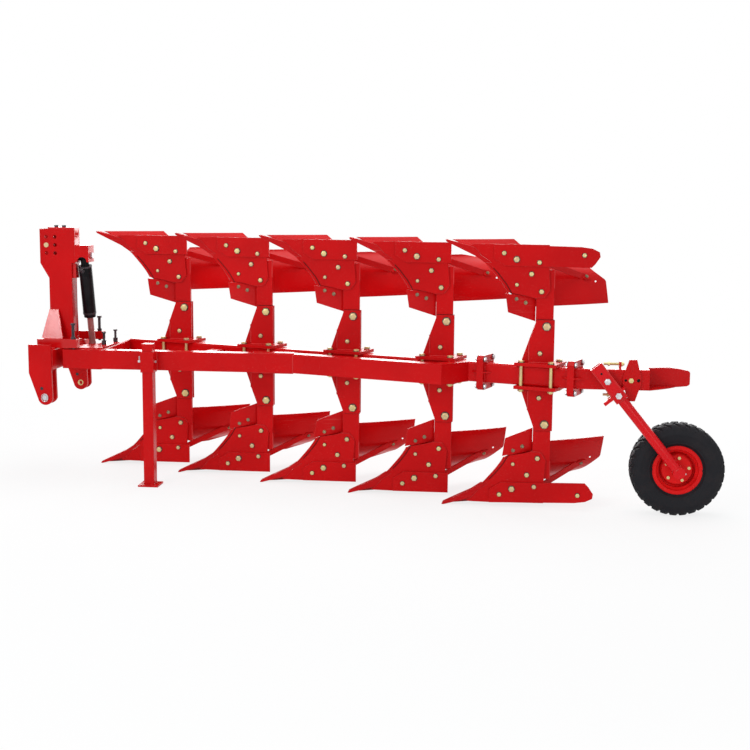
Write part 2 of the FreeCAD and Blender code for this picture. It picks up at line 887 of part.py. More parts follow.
def wheel_beam():
    y = wheel_beam_y()
    start = V(flange_two - beam_size, y, 0)
    tube = box_tube(start, V(wheel_beam_end, y, 0), beam_size, beam_size, beam_wall, beam_corner)
    face = beam_point(flange_two) + along * flange_plate
    return tube.cut(beyond(face, along * -1, body_pitch * 2))


def beam_end():
    """Bent plate that runs on from the far wall of the open beam end."""
    y = wheel_beam_y() + half_beam
    start = wheel_beam_end
    bend = start + 0.48 * end_plate_reach
    tip = start + end_plate_reach
    kicked = y + 0.9 * end_plate_kick
    plan = [(start, y - end_plate), (start, y), (bend, kicked), (tip, y + end_plate_kick)]
    plan += [(tip, y + end_plate_kick - end_plate), (bend, kicked - end_plate)]
    plate = plan_plate(plan, -half_beam, half_beam)
    low, high = -half_beam, half_beam
    trim = end_plate_trim
    outline = [(start, low), (bend, low + trim / 4), (tip - trim, low + trim / 2), (tip, low + trim)]
    outline += [(tip, high - 2 * trim), (tip - trim, high - 1.5 * trim)]
    outline += [(bend, high - trim / 2), (start, high)]
    return plate.common(side_plate(outline, y - OVERRUN, y + end_plate_kick + OVERRUN))


# Leg stations
def clamp_centre(number):
    return beam_point(body_place(number).x - beam_lead)


def clamp_corners():
    return [(dx * clamp_bolt_along / 2, dy * clamp_bolt_across / 2) for dx in (-1, 1) for dy in (-1, 1)]


def clamp_plate_solid(number, side):
    centre = clamp_centre(number)
    z0 = half_beam if side > 0 else -half_beam - clamp_plate
    half_l, half_w = clamp_length / 2, clamp_width / 2
    corners = []
    for dx, dy in ((-1, -1), (1, -1), (1, 1), (-1, 1)):
        corners.append(centre + along * (dx * half_l) + across * (dy * half_w) + V(0, 0, z0))
    plate = prism(corners, V(0, 0, clamp_plate))
    for dx, dy in clamp_corners():
        seat = centre + along * dx + across * dy + V(0, 0, z0)
        plate = plate.cut(hole(seat, Z_AXIS, clamp_bolt_radius + clamp_hole_clearance, clamp_plate))
    return plate


def clamp_plates():
    return [clamp_plate_solid(number, side) for number in range(body_count) for side in (1, -1)]


def clamp_bolts():
    bolts = []
    for number in range(body_count):
        for dx, dy in clamp_corners():
            seat = clamp_centre(number) + along * dx + across * dy + V(0, 0, half_beam + clamp_plate)
            bolts.append(bolt(seat, V(0, 0, -1), beam_size + 2 * clamp_plate, clamp_bolt_radius))
    return bolts


leg_outline_shares = [
    (-0.15, 0.113), (-0.15, 0.261), (-0.080, 0.405), (-0.080, 0.414), (0.101, 0.414), (0.101, 0.113),
]
rib_outline_shares = [(-0.225, 0.113), (-0.150, 0.261), (-0.0877, 0.261), (-0.0877, 0.113)]
pivot_bolt_shares = (0.022, 0.367)
shear_bolt_shares = (-0.039, 0.167)


def body_points(shares, z_sign=-1):
    """Outline points of a body, from shares of its reach and depth."""
    return [(u * tip_reach, z_sign * h * body_depth) for u, h in shares]


def leg_base():
    return half_beam + clamp_plate


def leg_hole(shares, radius):
    u, h = shares
    seat = V(u * tip_reach, frog_plate - leg_plate, -h * body_depth)
    return hole(seat, Y_AXIS, radius + clamp_hole_clearance, 2 * leg_plate + stalk_thickness)


def leg_plates():
    """Cheek plates either side of the stalk, welded upright on the clamp plate."""
    near = frog_plate - leg_plate
    far = frog_plate + stalk_thickness
    pieces = []
    for y0 in (near, far):
        plate = side_plate(leg_trimmed(leg_outline_shares), y0, y0 + leg_plate)
        plate = plate.cut(leg_hole(pivot_bolt_shares, pivot_bolt_radius))
        pieces.append(plate.cut(leg_hole(shear_bolt_shares, shear_bolt_radius)))
    return pieces


def leg_trimmed(shares):
    """The same outline with its first and last points on the foot plate."""
    points = body_points(shares)
    points[0] = (points[0][0], -leg_base())
    points[-1] = (points[-1][0], -leg_base())
    return points


def leg_rib():
    """Stiffener ahead of the stalk, in the stalk's own plane."""
    return side_plate(leg_trimmed(rib_outline_shares), frog_plate, frog_plate + stalk_thickness)


def stalk():
    front = rib_outline_shares[2][0] * tip_reach
    far = frog_plate + stalk_thickness
    piece = block(front, front + stalk_width, frog_plate, far, -stalk_foot, -stalk_top)
    piece = piece.cut(leg_hole(pivot_bolt_shares, pivot_bolt_radius))
    return piece.cut(leg_hole(shear_bolt_shares, shear_bolt_radius))


def pivot_bolt():
    u, h = pivot_bolt_shares
    seat = V(u * tip_reach, frog_plate - leg_plate, -h * body_depth)
    return bolt(seat, Y_AXIS, 2 * leg_plate + stalk_thickness, pivot_bolt_radius)


def shear_bolt():
    u, h = shear_bolt_shares
    seat = V(u * tip_reach, frog_plate - leg_plate, -h * body_depth)
    return bolt(seat, Y_AXIS, 2 * leg_plate + stalk_thickness, shear_bolt_radius)


# The curved soil face that share and mouldboard have in common
shin_shares = [
    (-1.247, 1.000), (-0.706, 0.884), (-0.607, 0.833), (-0.509, 0.755),
    (-0.426, 0.677), (-0.371, 0.602), (-0.340, 0.528), (-0.330, 0.401),
]
face_angle_shares = [(0.30, 31.0), (0.755, 31.0), (0.833, 39.0), (0.884, 37.5), (1.0, 26.0)]
skin_step_shares = [0.870, 0.833, 0.765, 0.69, 0.60, 0.505]


def looked_up(table, share):
    """Straight-line reading of a table of (share of depth, value)."""
    for (s0, v0), (s1, v1) in zip(table, table[1:]):
        if share <= s1 or s1 == table[-1][0]:
            return v0 + (v1 - v0) * (share - s0) / (s1 - s0)


def shin_u(h):
    """X of the leading edge at depth h, read off the shin's table."""
    table = [(depth, reach) for reach, depth in reversed(shin_shares)]
    return tip_reach * looked_up(table, h / body_depth)


def face_angle(h):
    return looked_up(face_angle_shares, h / body_depth)


def face_point(h, reach, depth=0.0):
    """A point of the soil face at depth h, or that far behind it."""
    angle = math.radians(face_angle(h))
    u = shin_u(h) + reach * math.cos(angle)
    y = reach * math.sin(angle)
    part = reach / skin_reach
    bulge = skin_bulge_share * skin_reach * 4 * part * (1 - part) + depth
    return V(u + bulge * math.sin(angle), y - bulge * math.cos(angle), -h)


def skin_section(h, reach0, reach1, front, back):
    """A closed strip across the face at one depth, between two distances behind it."""
    count = 5
    edges = []
    ends = []
    for depth in (front, back):
        points = []
        for step in range(count):
            reach = reach0 + (reach1 - reach0) * step / (count - 1)
            points.append(face_point(h, reach, depth))
        curve = Part.BSplineCurve()
        curve.interpolate(points)
        edges.append(curve.toShape())
        ends.append((points[0], points[-1]))
    closing = [Part.makeLine(ends[0][1], ends[1][1]), Part.makeLine(ends[1][0], ends[0][0])]
    return Part.Wire([edges[0], closing[0], edges[1], closing[1]])


def face_strip(shares, reach0, reach1, front, back):
    """A shell that follows the soil face from one depth to another."""
    wires = [skin_section(share * body_depth, reach0, reach1, front, back) for share in shares]
    return Part.makeLoft(wires, True, False)


mouldboard_outline_shares = [
    (-0.70, 0.8325), (-0.040, 0.8325), (-0.015, 0.862), (0.15, 0.862), (0.31, 0.838), (0.43, 0.800),
    (0.52, 0.750), (0.635, 0.688), (0.662, 0.517), (-0.09, 0.510), (-0.368, 0.620), (-0.70, 0.620),
]
spare_hole_shares = (0.523, 0.682)
spare_hole_radius = 6.0


def mouldboard():
    blank = face_strip(skin_step_shares, 0.0, skin_reach, 0.0, skin)
    outline = body_points(mouldboard_outline_shares)
    board = blank.common(side_plate(outline, -OVERRUN, tip_reach))
    u, h = spare_hole_shares
    return board.cut(hole(V(u * tip_reach, 0, -h * body_depth), Y_AXIS, spare_hole_radius, tip_reach))


def share_blade():
    """Ruled blade from the cutting edge up to the mouldboard's foot."""
    wires = []
    rows = [
        (body_depth, share_edge, share_width + share_wing),
        (share_joint + skin_seam, skin, share_width),
    ]
    for h, thick, width in rows:
        angle = math.radians(face_angle(h))
        wires.append(skin_section(h, point_width / math.sin(angle), width / math.sin(angle), 0.0, thick))
    blade = Part.makeLoft(wires, True, True)
    side = point_width + skin_seam
    return blade.cut(block(-2 * tip_reach, 2 * tip_reach, -tip_reach, side, -2 * body_depth, 0.0))


def point_side():
    """Top and under line of the share point, seen from the landside."""
    nose, toe, knee, joint = body_points([(-1.0, 1.0), (-0.99, 0.985), (-0.706, 0.884), (-0.607, 0.834)])
    heel = (joint[0] + point_depth, joint[1])
    under = (knee[0] + point_depth, knee[1])
    belly = (knee[0], knee[1] - point_belly * point_depth)
    sole = (nose[0] + point_sole, nose[1])
    return [nose, toe, knee, joint], [heel, under, belly, sole]


def share_point():
    """Forged point: a bar along the shin that narrows to its nose."""
    top, bottom = point_side()
    bar = side_plate(top + bottom, 0.0, point_width)
    nose = top[0][0]
    rear = top[3][0] + 2 * point_depth
    shoulder = (top[2][0] + nose) / 2
    plan = [(nose, 0.0), (rear, 0.0), (rear, point_width), (shoulder, point_width), (nose, point_nose)]
    return bar.common(plan_plate(plan, -body_depth - OVERRUN, 0.0))


frog_outline_shares = [
    (-0.182, 0.592), (-0.105, 0.577), (-0.005, 0.584), (0.047, 0.640), (0.031, 0.800), (0.031, 0.968),
    (-0.516, 0.972), (-0.728, 0.969),
]


def frog():
    """Flat plate that carries everything else; its front edge is bevelled to the mouldboard's back."""
    top, bottom = point_side()
    outline = body_points(frog_outline_shares)
    low = outline[-1]
    nose = (low[0] - point_depth / 3, low[1] + point_depth / 5)
    behind_point = [(u + 2 * skin_seam, z) for u, z in reversed(bottom[:3])]
    joint = (top[3][0], top[3][1] + skin_seam)
    ahead = [(shin_u(share * body_depth), -share * body_depth) for share in (0.80, 0.755, 0.677, 0.620)]
    plate = side_plate(outline + [nose] + behind_point + [joint] + ahead, 0.0, frog_plate)
    soil_side = face_strip(skin_step_shares, -tip_reach / 4, skin_reach, -tip_reach / 4, skin + SEAT_GAP)
    return plate.cut(soil_side)


landside_outline_shares = [(-0.516, 0.868), (-0.404, 0.814), (0.063, 0.814), (0.063, 0.970), (-0.516, 0.970)]
long_landside_shares = [
    (-0.516, 0.868), (-0.404, 0.814), (0.444, 0.805), (0.480, 0.832), (0.528, 0.885), (0.520, 0.920),
    (0.450, 0.945), (0.340, 0.956), (-0.516, 0.970),
]


def landsides(upper):
    """Short landsides on the front bodies and a long one on the last."""
    pieces = []
    for number in range(body_count):
        last = number == body_count - 1
        shares = long_landside_shares if last else landside_outline_shares
        plate = side_plate(body_points(shares), -landside_plate, 0.0)
        if upper:
            plate = mirrored(plate)
        pieces.append(plate.translated(body_place(number)))
    return pieces


trash_outline_shares = [(-0.393, 0.609), (-0.366, 0.472), (-0.092, 0.401), (-0.092, 0.580)]
trash_step_shares = [0.62, 0.52, 0.45, 0.39]


def trash_board():
    """Board bolted to the back of the mouldboard's upper corner."""
    start = -tip_reach / 8
    near = skin + SEAT_GAP
    board = face_strip(trash_step_shares, start, tip_reach / 2, near, near + trash_plate)
    return board.common(side_plate(body_points(trash_outline_shares), -tip_reach, tip_reach))


stay_start_shares = (0.02, 0.830)
stay_end_share = 0.722
stay_end_reach_share = 0.79


def stay():
    """Flat bar from the back of the frog to the back of the mouldboard."""
    u, h0 = stay_start_shares
    start = V(u * tip_reach, frog_plate, -h0 * body_depth)
    end = face_point(stay_end_share * body_depth, stay_end_reach_share * skin_reach, skin)
    path = end - start
    side = path.cross(Z_AXIS).normalize()
    up = side.cross(path).normalize()
    half_w, half_t = stay_width / 2, stay_thickness / 2
    corners = []
    for a, b in ((-1, -1), (1, -1), (1, 1), (-1, 1)):
        corners.append(start - path * 0.1 + up * (a * half_w) + side * (b * half_t))
    bar = prism(corners, path * 1.2)
    bar = bar.cut(beyond(V(0, frog_plate, 0), V(0, -1, 0), 2 * body_depth))
    soil_side = face_strip(skin_step_shares, 0.0, skin_reach, -tip_reach / 4, skin + SEAT_GAP)
    solids = bar.cut(soil_side).Solids
    return max(solids, key=lambda solid: solid.Volume)


bolt_shares = [
    (-0.415, 0.906, 11.0), (-0.291, 0.861, 15.0), (-0.066, 0.840, 11.0),
    (-0.141, 0.754, 12.0), (-0.038, 0.625, 12.0), (-0.283, 0.674, 9.0),
]
heel_bolt_shares = (0.372, 0.896)
heel_bolt_radius = 11.0


def flat_bolt(u, h, radius, y):
    """A bolt head on a plate that is parallel to the travel direction."""
    seat = V(u * tip_reach, y, -h * body_depth)
    return hex_bar(seat - V(0, radius, 0), seat, 2.2 * radius)


def body_bolts():
    """Heads on the landside and the frog."""
    heads = []
    for u, h, radius in bolt_shares:
        on_landside = h > landside_outline_shares[1][1]
        heads.append(flat_bolt(u, h, radius, -landside_plate if on_landside else 0.0))
    return heads


def heel_bolts():
    """Rear bolts of the two long landsides."""
    u, h = heel_bolt_shares
    head = flat_bolt(u, h, heel_bolt_radius, -landside_plate).translated(body_place(body_count - 1))
    return [head, mirrored(head)]


# Stand
def stand_y():
    return -near_tube_side - sleeve_wall - stand_slack - stand_size / 2


def stand_sleeve():
    outer = stand_size / 2 + stand_slack + sleeve_wall
    inner = stand_size / 2 + stand_slack
    y = stand_y()
    half = sleeve_height / 2
    sleeve = block(stand_x - outer, stand_x + outer, y - outer, y + outer, -half, half)
    low, high = -half - OVERRUN, half + OVERRUN
    sleeve = sleeve.cut(block(stand_x - inner, stand_x + inner, y - inner, y + inner, low, high))
    return sleeve.cut(hole(V(stand_x - outer, y, 0), X_AXIS, stand_pin_radius, 2 * outer))


def stand_leg():
    y = stand_y()
    half = stand_size / 2
    inner = half - stand_wall
    foot_top = -body_depth + stand_foot_plate
    tube = block(stand_x - half, stand_x + half, y - half, y + half, foot_top, stand_top)
    hollow_top = stand_top - stand_wall
    tube = tube.cut(block(stand_x - inner, stand_x + inner, y - inner, y + inner, foot_top, hollow_top))
    wide = stand_foot / 2
    foot = block(stand_x - wide, stand_x + wide, y - wide, y + wide, -body_depth, foot_top)
    whole = fuse([tube, foot])
    return whole.cut(hole(V(stand_x - half, y, 0), X_AXIS, stand_pin_radius + SEAT_GAP, stand_size))


def stand_pin():
    """The two ends of the lock pin, held by the sleeve's walls."""
    inner = stand_size / 2 + stand_slack
    outer = inner + sleeve_wall
    y = stand_y()
    front = V(stand_x - outer - 3 * stand_pin_radius, y, 0)
    pin = round_bar(front, V(stand_x - inner, y, 0), stand_pin_radius)
    grip = front + V(stand_pin_radius, 0, 0)
    lever = round_bar(grip, grip + V(0, 0, 4 * stand_pin_radius), 0.6 * stand_pin_radius)
    tail = round_bar(V(stand_x + inner, y, 0), V(stand_x + outer + stand_pin_radius, y, 0), stand_pin_radius)
    return [fuse([pin, lever]), tail]


# Depth wheel: everything in the plane of its arm
def beam_face_y():
    return wheel_beam_y() - half_beam


def arm_y():
    """Y of the arm's middle plane, clear of the beam face."""
    return beam_face_y() - arm_side_gap - SEAT_GAP - arm_block_depth / 2


def wheel_y():
    """Y of the wheel's middle; its outer side lies level with the arm's inner side."""
    return arm_y() + arm_block_depth / 2 + wheel_width / 2


def wheel_centre():
    return along_arm(wheel_arm_length, 0.0, wheel_y())


def along_arm(reach, offset=0.0, y=None):
    angle = math.radians(wheel_arm_slope)
    level = arm_y() if y is None else y
    x = wheel_pivot_x + reach * math.cos(angle) + offset * math.sin(angle)
    z = -reach * math.sin(angle) + offset * math.cos(angle)
    return V(x, level, z)


hex_left_share = 0.78
hex_right_share = 0.50


def wheel_bracket():
    """Six-sided plate on the beam face, and the arm's pivot with its boss."""
    face = beam_face_y()
    top = hex_plate_width / 2
    half_h = hex_plate_height / 2
    left, right = hex_plate_height / 2 * hex_left_share, hex_plate_height / 2 * hex_right_share
    waist = hex_plate_height / 8
    outline = [(-top, -half_h), (top, -half_h), (right, -waist), (right, waist)]
    outline += [(top, half_h), (-top, half_h), (-left, waist), (-left, -waist)]
    plate = side_plate([(hex_plate_x + x, z) for x, z in outline], face - hex_plate, face)
    for offset in (-0.3, 0.4):
        seat = V(hex_plate_x + offset * half_h, face - hex_plate, 0)
        plate = plate.cut(hole(seat, Y_AXIS, wheel_screw_radius, hex_plate))
    boss = round_bar(V(wheel_pivot_x, face, 0), V(wheel_pivot_x, face - arm_side_gap, 0), 2 * arm_pin_radius)
    outer = arm_y() - arm_block_depth / 2 - SEAT_GAP
    pin = round_bar(V(wheel_pivot_x, face, 0), V(wheel_pivot_x, outer, 0), arm_pin_radius)
    seat = V(wheel_pivot_x, outer, 0)
    head = hex_bar(seat - V(0, arm_pin_radius, 0), seat, 2.6 * arm_pin_radius)
    return [plate.cut(boss), fuse([boss, pin, head])]


def wheel_stops():
    """Lugs over and under the beam, each with a long stop screw."""
    face = beam_face_y()
    middle = face + wheel_screw_inset
    lug_x = hex_plate_x - wheel_lug_lead
    half = wheel_lug_width / 2
    lugs = []
    screws = []
    for side in (-1, 1):
        z = side * wheel_screw_z
        low, high = sorted((side * half_beam, z + side * 2 * wheel_screw_radius))
        lug = block(lug_x, lug_x + wheel_lug_plate, middle - half, middle + half, low, high)
        lugs.append(lug.cut(hole(V(lug_x, middle, z), X_AXIS, wheel_screw_radius, wheel_lug_plate)))
        tail = V(lug_x + wheel_lug_plate, middle, z)
        front = V(lug_x - wheel_screw_length, middle, z)
        nut = V(1.6 * wheel_screw_radius, 0, 0)
        collar = front + nut * 2
        pieces = [round_bar(front, tail + nut * 1.5, wheel_screw_radius)]
        pieces.append(hex_bar(tail, tail + nut, 3 * wheel_screw_radius))
        pieces.append(hex_bar(collar, collar + nut, 3 * wheel_screw_radius))
        screws.append(fuse(pieces))
    return lugs, screws


def plate_bolt():
    """The bolt in the middle of the six-sided plate."""
    seat = V(hex_plate_x, beam_face_y() - hex_plate, 0)
    return hex_bar(seat - V(0, wheel_screw_radius, 0), seat, 3.6 * wheel_screw_radius)


def wheel_arm():
    """Channel about the pivot, then a round tube down to the hub."""
    y0 = arm_y() - arm_block_depth / 2
    y1 = arm_y() + arm_block_depth / 2
    half = arm_block_width / 2
    corners = [along_arm(-arm_block_back, -half, y0), along_arm(arm_block_front, -half, y0)]
    corners += [along_arm(arm_block_front, half, y0), along_arm(-arm_block_back, half, y0)]
    channel = prism(corners, V(0, y1 - y0, 0))
    inner = half - arm_block_plate
    back = -arm_block_back - OVERRUN
    ahead = 3 * arm_pin_radius
    level = y0 + arm_block_plate
    corners = [along_arm(back, -inner, level), along_arm(ahead, -inner, level)]
    corners += [along_arm(ahead, inner, level), along_arm(back, inner, level)]
    core = prism(corners, V(0, arm_block_depth - 2 * arm_block_plate, 0))
    channel = channel.cut(core)
    tube = round_bar(along_arm(arm_block_front), along_arm(wheel_arm_length), arm_tube_radius)
    centre = wheel_centre()
    knuckle = round_bar(V(centre.x, y0, centre.z), V(centre.x, y1, centre.z), 1.2 * arm_tube_radius)
    axle_end = V(centre.x, wheel_y() + wheel_width / 3, centre.z)
    axle = round_bar(V(centre.x, y1, centre.z), axle_end, axle_radius)
    pivot = hole(V(wheel_pivot_x, y0, 0), Y_AXIS, arm_pin_radius + pin_clearance, arm_block_depth)
    return fuse([channel, tube, knuckle, axle] + arm_lugs()).cut(pivot)


def arm_lugs():
    """Ears welded square to the two edges of the arm's channel."""
    y0 = arm_y() - arm_block_depth / 2
    edge = arm_block_width / 2
    ears = []
    for side, length in ((-1, arm_ear_long), (1, arm_ear_short)):
        near, far = side * edge * 0.9, side * (edge + length)
        places = ((arm_ear_reach, near), (arm_ear_reach, far))
        places += ((arm_ear_reach + arm_block_plate, far), (arm_ear_reach + arm_block_plate, near))
        corners = [along_arm(reach, offset, y0) for reach, offset in places]
        ears.append(prism(corners, V(0, arm_block_depth, 0)))
    return ears


def arm_bolt():
    """The clamp bolt below the pivot."""
    seat = along_arm(arm_bolt_reach, 0.0, arm_y() - arm_block_depth / 2)
    return hex_bar(seat - V(0, arm_pin_radius, 0), seat, 2 * arm_pin_radius)


def spun(profile):
    """Turn a profile of (radius, y from the wheel's middle) about the axle."""
    centre = wheel_centre()
    points = [V(centre.x + r, centre.y + y, centre.z) for r, y in profile]
    face = Part.Face(Part.makePolygon(points + [points[0]]))
    return face.revolve(V(centre.x, 0, centre.z), Y_AXIS, 360)


def tyre():
    w = wheel_width / 2
    r = wheel_radius
    bead = rim_radius
    rise = r - bead
    side = [(bead, 0.62), (bead + 0.14 * rise, 0.62), (bead + 0.30 * rise, 0.95), (bead + 0.60 * rise, 1.0)]
    side += [(r - 0.16 * rise, 0.86), (r, 0.62)]
    outer = [(radius, share * w) for radius, share in side]
    outer += [(radius, -share * w) for radius, share in reversed(side)]
    hollow = [(bead + 0.22 * rise, 0.50), (bead + 0.34 * rise, 0.78)]
    hollow += [(bead + 0.60 * rise, 0.84), (bead + 0.82 * rise, 0.60)]
    inner = [(radius, share * w) for radius, share in hollow]
    inner += [(radius, -share * w) for radius, share in reversed(hollow)]
    return spun(outer).cut(spun(inner))


def rim():
    """Rolled rim with a dished disc; the ring between them lies deep."""
    w = wheel_width / 2
    r = rim_radius - SEAT_GAP
    t = rim_wall
    lip = 0.62 * w
    side = [(r + 0.10 * r, lip + t), (r + 0.10 * r, lip), (r, lip), (r - t, 0.50 * w), (r - 3 * t, 0.40 * w)]
    under = [(r - 4 * t, 0.40 * w), (r - 2 * t, 0.50 * w), (r - t, lip + t)]
    barrel = side + [(radius, -y) for radius, y in reversed(side)]
    barrel += [(radius, -y) for radius, y in reversed(under)] + under
    disc_y = -rim_disc_share * w
    bore = hub_bore_radius
    edge = r - 3.5 * t
    deep = disc_y + rim_dish_depth
    knee = rim_dish_radius + rim_dish_run
    disc = [(bore, disc_y - rim_disc), (rim_dish_radius, disc_y - rim_disc), (knee, deep - rim_disc)]
    disc += [(edge, deep - rim_disc), (edge, deep), (knee - rim_disc, deep)]
    disc += [(rim_dish_radius - rim_disc, disc_y), (bore, disc_y)]
    return fuse([spun(barrel), spun(disc)])


def hub():
    w = wheel_width / 2
    bore = axle_radius + pin_clearance
    flange_y = -rim_disc_share * w - rim_disc
    front = -w + hub_front
    neck = hub_bore_radius
    tail = hub_tail_share * w
    profile = [(bore, front), (neck, front), (neck, flange_y - rim_disc)]
    profile += [(hub_radius, flange_y - rim_disc), (hub_radius, flange_y)]
    profile += [(neck, flange_y), (neck, tail), (bore, tail)]
    return spun(profile)


def wheel_bolts():
    centre = wheel_centre()
    y = centre.y - rim_disc_share * wheel_width / 2 - 2 * rim_disc
    nuts = []
    for number in range(wheel_bolt_count):
        angle = math.radians(wheel_bolt_first - 360 * number / wheel_bolt_count)
        arm = V(math.cos(angle), 0, math.sin(angle)) * wheel_bolt_circle
        seat = V(centre.x, y, centre.z) + arm
        nuts.append(hex_bar(seat - V(0, wheel_bolt_radius, 0), seat, 2.4 * wheel_bolt_radius))
    return nuts


def as_list(thing):
    return thing if isinstance(thing, list) else [thing]


def both(shape):
    return at_every_body(shape) + at_every_body(shape, upper=True)


def leg():
    return fuse(leg_plates() + [leg_rib()])


stop_lugs, stop_lug_screws = wheel_stops()
nodes = {
    "crossbeam": crossbeam(),
    "link_plates": link_plates(),
    "link_bushes": link_bushes(),
    "link_pin": link_pin(),
    "mast_plates": mast_plates(),
    "mast_core": mast_core(),
    "mast_bolts": mast_bolts(),
    "top_link_pin": top_link_pin(),
    "cylinder_bracket": cylinder_bracket(),
    "cylinder_pin": cylinder_pin(),
    "bearing_housing": bearing_housing(),
    "bearing_bushes": bearing_bushes(),
    "stop_bars": stop_bars(),
    "stop_screws": stop_screws(),
    "cylinder_barrel": cylinder_barrel(),
    "cylinder_gland": cylinder_gland(),
    "cylinder_rod": cylinder_rod(),
    "rod_pin": rod_pin(),
    "turnover_shaft": turnover_shaft(),
    "shaft_nut": shaft_nut(),
    "near_tube": near_tube(),
    "main_beam": main_beam(),
    "cross_tubes": cross_tubes(),
    "head_plates": head_plates(),
    "set_screws": set_screws(),
    "beam_flanges": flanges(),
    "flange_bolts": flange_bolts(),
    "rear_beam": rear_beam(),
    "wheel_beam": wheel_beam(),
    "beam_end": beam_end(),
    "clamp_plates": clamp_plates(),
    "clamp_bolts": clamp_bolts(),
    "lower_leg_plates": at_every_body(leg()),
    "upper_leg_plates": at_every_body(leg(), upper=True),
    "lower_stalks": at_every_body(stalk()),
    "upper_stalks": at_every_body(stalk(), upper=True),
    "leg_bolts": both(pivot_bolt()) + both(shear_bolt()),
    "lower_frogs": at_every_body(frog()),
    "upper_frogs": at_every_body(frog(), upper=True),
    "lower_landsides": landsides(False),
    "upper_landsides": landsides(True),
    "lower_shares": at_every_body(share_blade()),
    "upper_shares": at_every_body(share_blade(), upper=True),
    "share_points": both(share_point()),
    "lower_mouldboards": at_every_body(mouldboard()),
    "upper_mouldboards": at_every_body(mouldboard(), upper=True),
    "trash_boards": both(trash_board()),
    "stays": both(stay()),
    "body_bolts": [shape for head in body_bolts() for shape in both(head)] + heel_bolts(),
    "stand_sleeve": stand_sleeve(),
    "stand_leg": stand_leg(),
    "stand_pin": stand_pin(),
    "wheel_bracket": wheel_bracket() + stop_lugs,
    "wheel_screws": stop_lug_screws + [plate_bolt()],
    "wheel_arm": wheel_arm(),
    "arm_bolt": arm_bolt(),
    "tyre": tyre(),
    "rim": rim(),
    "hub": hub(),
    "wheel_bolts": wheel_bolts(),
}

everything = Part.makeCompound([shape for shapes in nodes.values() for shape in as_list(shapes)])
box = everything.optimalBoundingBox(False, False)
ground = V(-(box.XMin + box.XMax) / 2, -(box.YMin + box.YMax) / 2, -box.ZMin)

os.makedirs("parts", exist_ok=True)
for name, shapes in nodes.items():
    solids = [solid for shape in as_list(shapes) for solid in shape.Solids]
    placed = Part.makeCompound([solid.translated(ground) for solid in solids])
    placed.exportStep("parts/" + name + ".step")
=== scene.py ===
# %% [markdown]
# # Dressing a reversible plough
# The solid model brings every plate, tube, bolt and blade in its true place. This
# lesson gives each of them its finish, adds the weld seams, washers, nuts, threads and
# the tyre's tread that a plain solid lacks, and lights and frames the whole plough.

# %% Load the fixed frame
import bmesh
import bpy
import json
import math
import random
from mathutils import Matrix, Vector


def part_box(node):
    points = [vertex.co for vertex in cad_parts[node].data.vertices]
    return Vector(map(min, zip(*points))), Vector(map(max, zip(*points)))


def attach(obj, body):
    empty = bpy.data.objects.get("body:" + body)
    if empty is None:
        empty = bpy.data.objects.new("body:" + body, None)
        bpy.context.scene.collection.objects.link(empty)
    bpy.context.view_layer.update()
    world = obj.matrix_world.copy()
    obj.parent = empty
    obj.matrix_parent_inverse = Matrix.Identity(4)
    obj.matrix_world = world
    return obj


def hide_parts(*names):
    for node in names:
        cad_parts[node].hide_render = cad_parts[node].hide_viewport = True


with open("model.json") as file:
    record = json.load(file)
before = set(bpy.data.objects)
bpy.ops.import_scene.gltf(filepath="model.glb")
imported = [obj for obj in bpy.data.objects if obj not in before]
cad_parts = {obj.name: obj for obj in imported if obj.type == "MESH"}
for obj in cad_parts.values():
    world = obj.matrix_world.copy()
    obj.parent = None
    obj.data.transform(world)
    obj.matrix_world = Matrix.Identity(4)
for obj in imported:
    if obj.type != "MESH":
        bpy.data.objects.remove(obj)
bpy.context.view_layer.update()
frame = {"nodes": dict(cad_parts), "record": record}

nodes = frame["nodes"]

# %% [markdown]
# Every measure below is in millimetres from the point where the turnover axis crosses
# the headstock's crossbeam. The crossbeam is centred on that point, so its box says
# where it lies. One function turns such a measure into a place in the scene.

# %% Places in millimetres
MM = 0.001
low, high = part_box("crossbeam")
pivot = (low + high) / 2


def at(x, y, z):
    return pivot + Vector((x, y, z)) * MM


print("turnover axis at", [round(value, 3) for value in pivot])

# %% [markdown]
# The camera stood nine metres away, a little above the plough and turned slightly
# towards its front. Its place and turn come from solving the photograph's view, and a
# matrix holds them: right, up and back are its three columns.

# %% Camera
FOCAL_PIXELS = 1268.298
FRAME_PIXELS = 750
SENSOR = 36.0
CAMERA_PLACE = (3179.4, -8739.4, 1125.1)
yaw, pitch, roll = -0.104720, 0.139375, 0.008044
ahead = Vector((math.sin(yaw) * math.cos(pitch), math.cos(yaw) * math.cos(pitch), -math.sin(pitch)))
level = Vector((math.cos(yaw), -math.sin(yaw), 0))
upright = level.cross(ahead)
right = math.cos(roll) * level + math.sin(roll) * upright
up = math.cos(roll) * upright - math.sin(roll) * level
lens = bpy.data.cameras.new("camera")
lens.sensor_width = SENSOR
lens.lens = FOCAL_PIXELS / FRAME_PIXELS * SENSOR
lens.clip_end = 200
camera = bpy.data.objects.new("camera", lens)
turn = Matrix((right, up, -ahead)).transposed().to_4x4()
camera.matrix_world = Matrix.Translation(at(*CAMERA_PLACE)) @ turn
bpy.context.scene.collection.objects.link(camera)
bpy.context.scene.camera = camera
print("lens", round(lens.lens, 2), "mm")

# %% [markdown]
# ## Shader maths as plain Python
# A material is a graph of nodes. Writing it as expressions keeps it readable: a Wire is
# one socket, and adding or multiplying wires adds the Math nodes. A Graph is one node
# tree, and its node method makes any other node. The sky is a Graph too.

# %% Wire and Graph


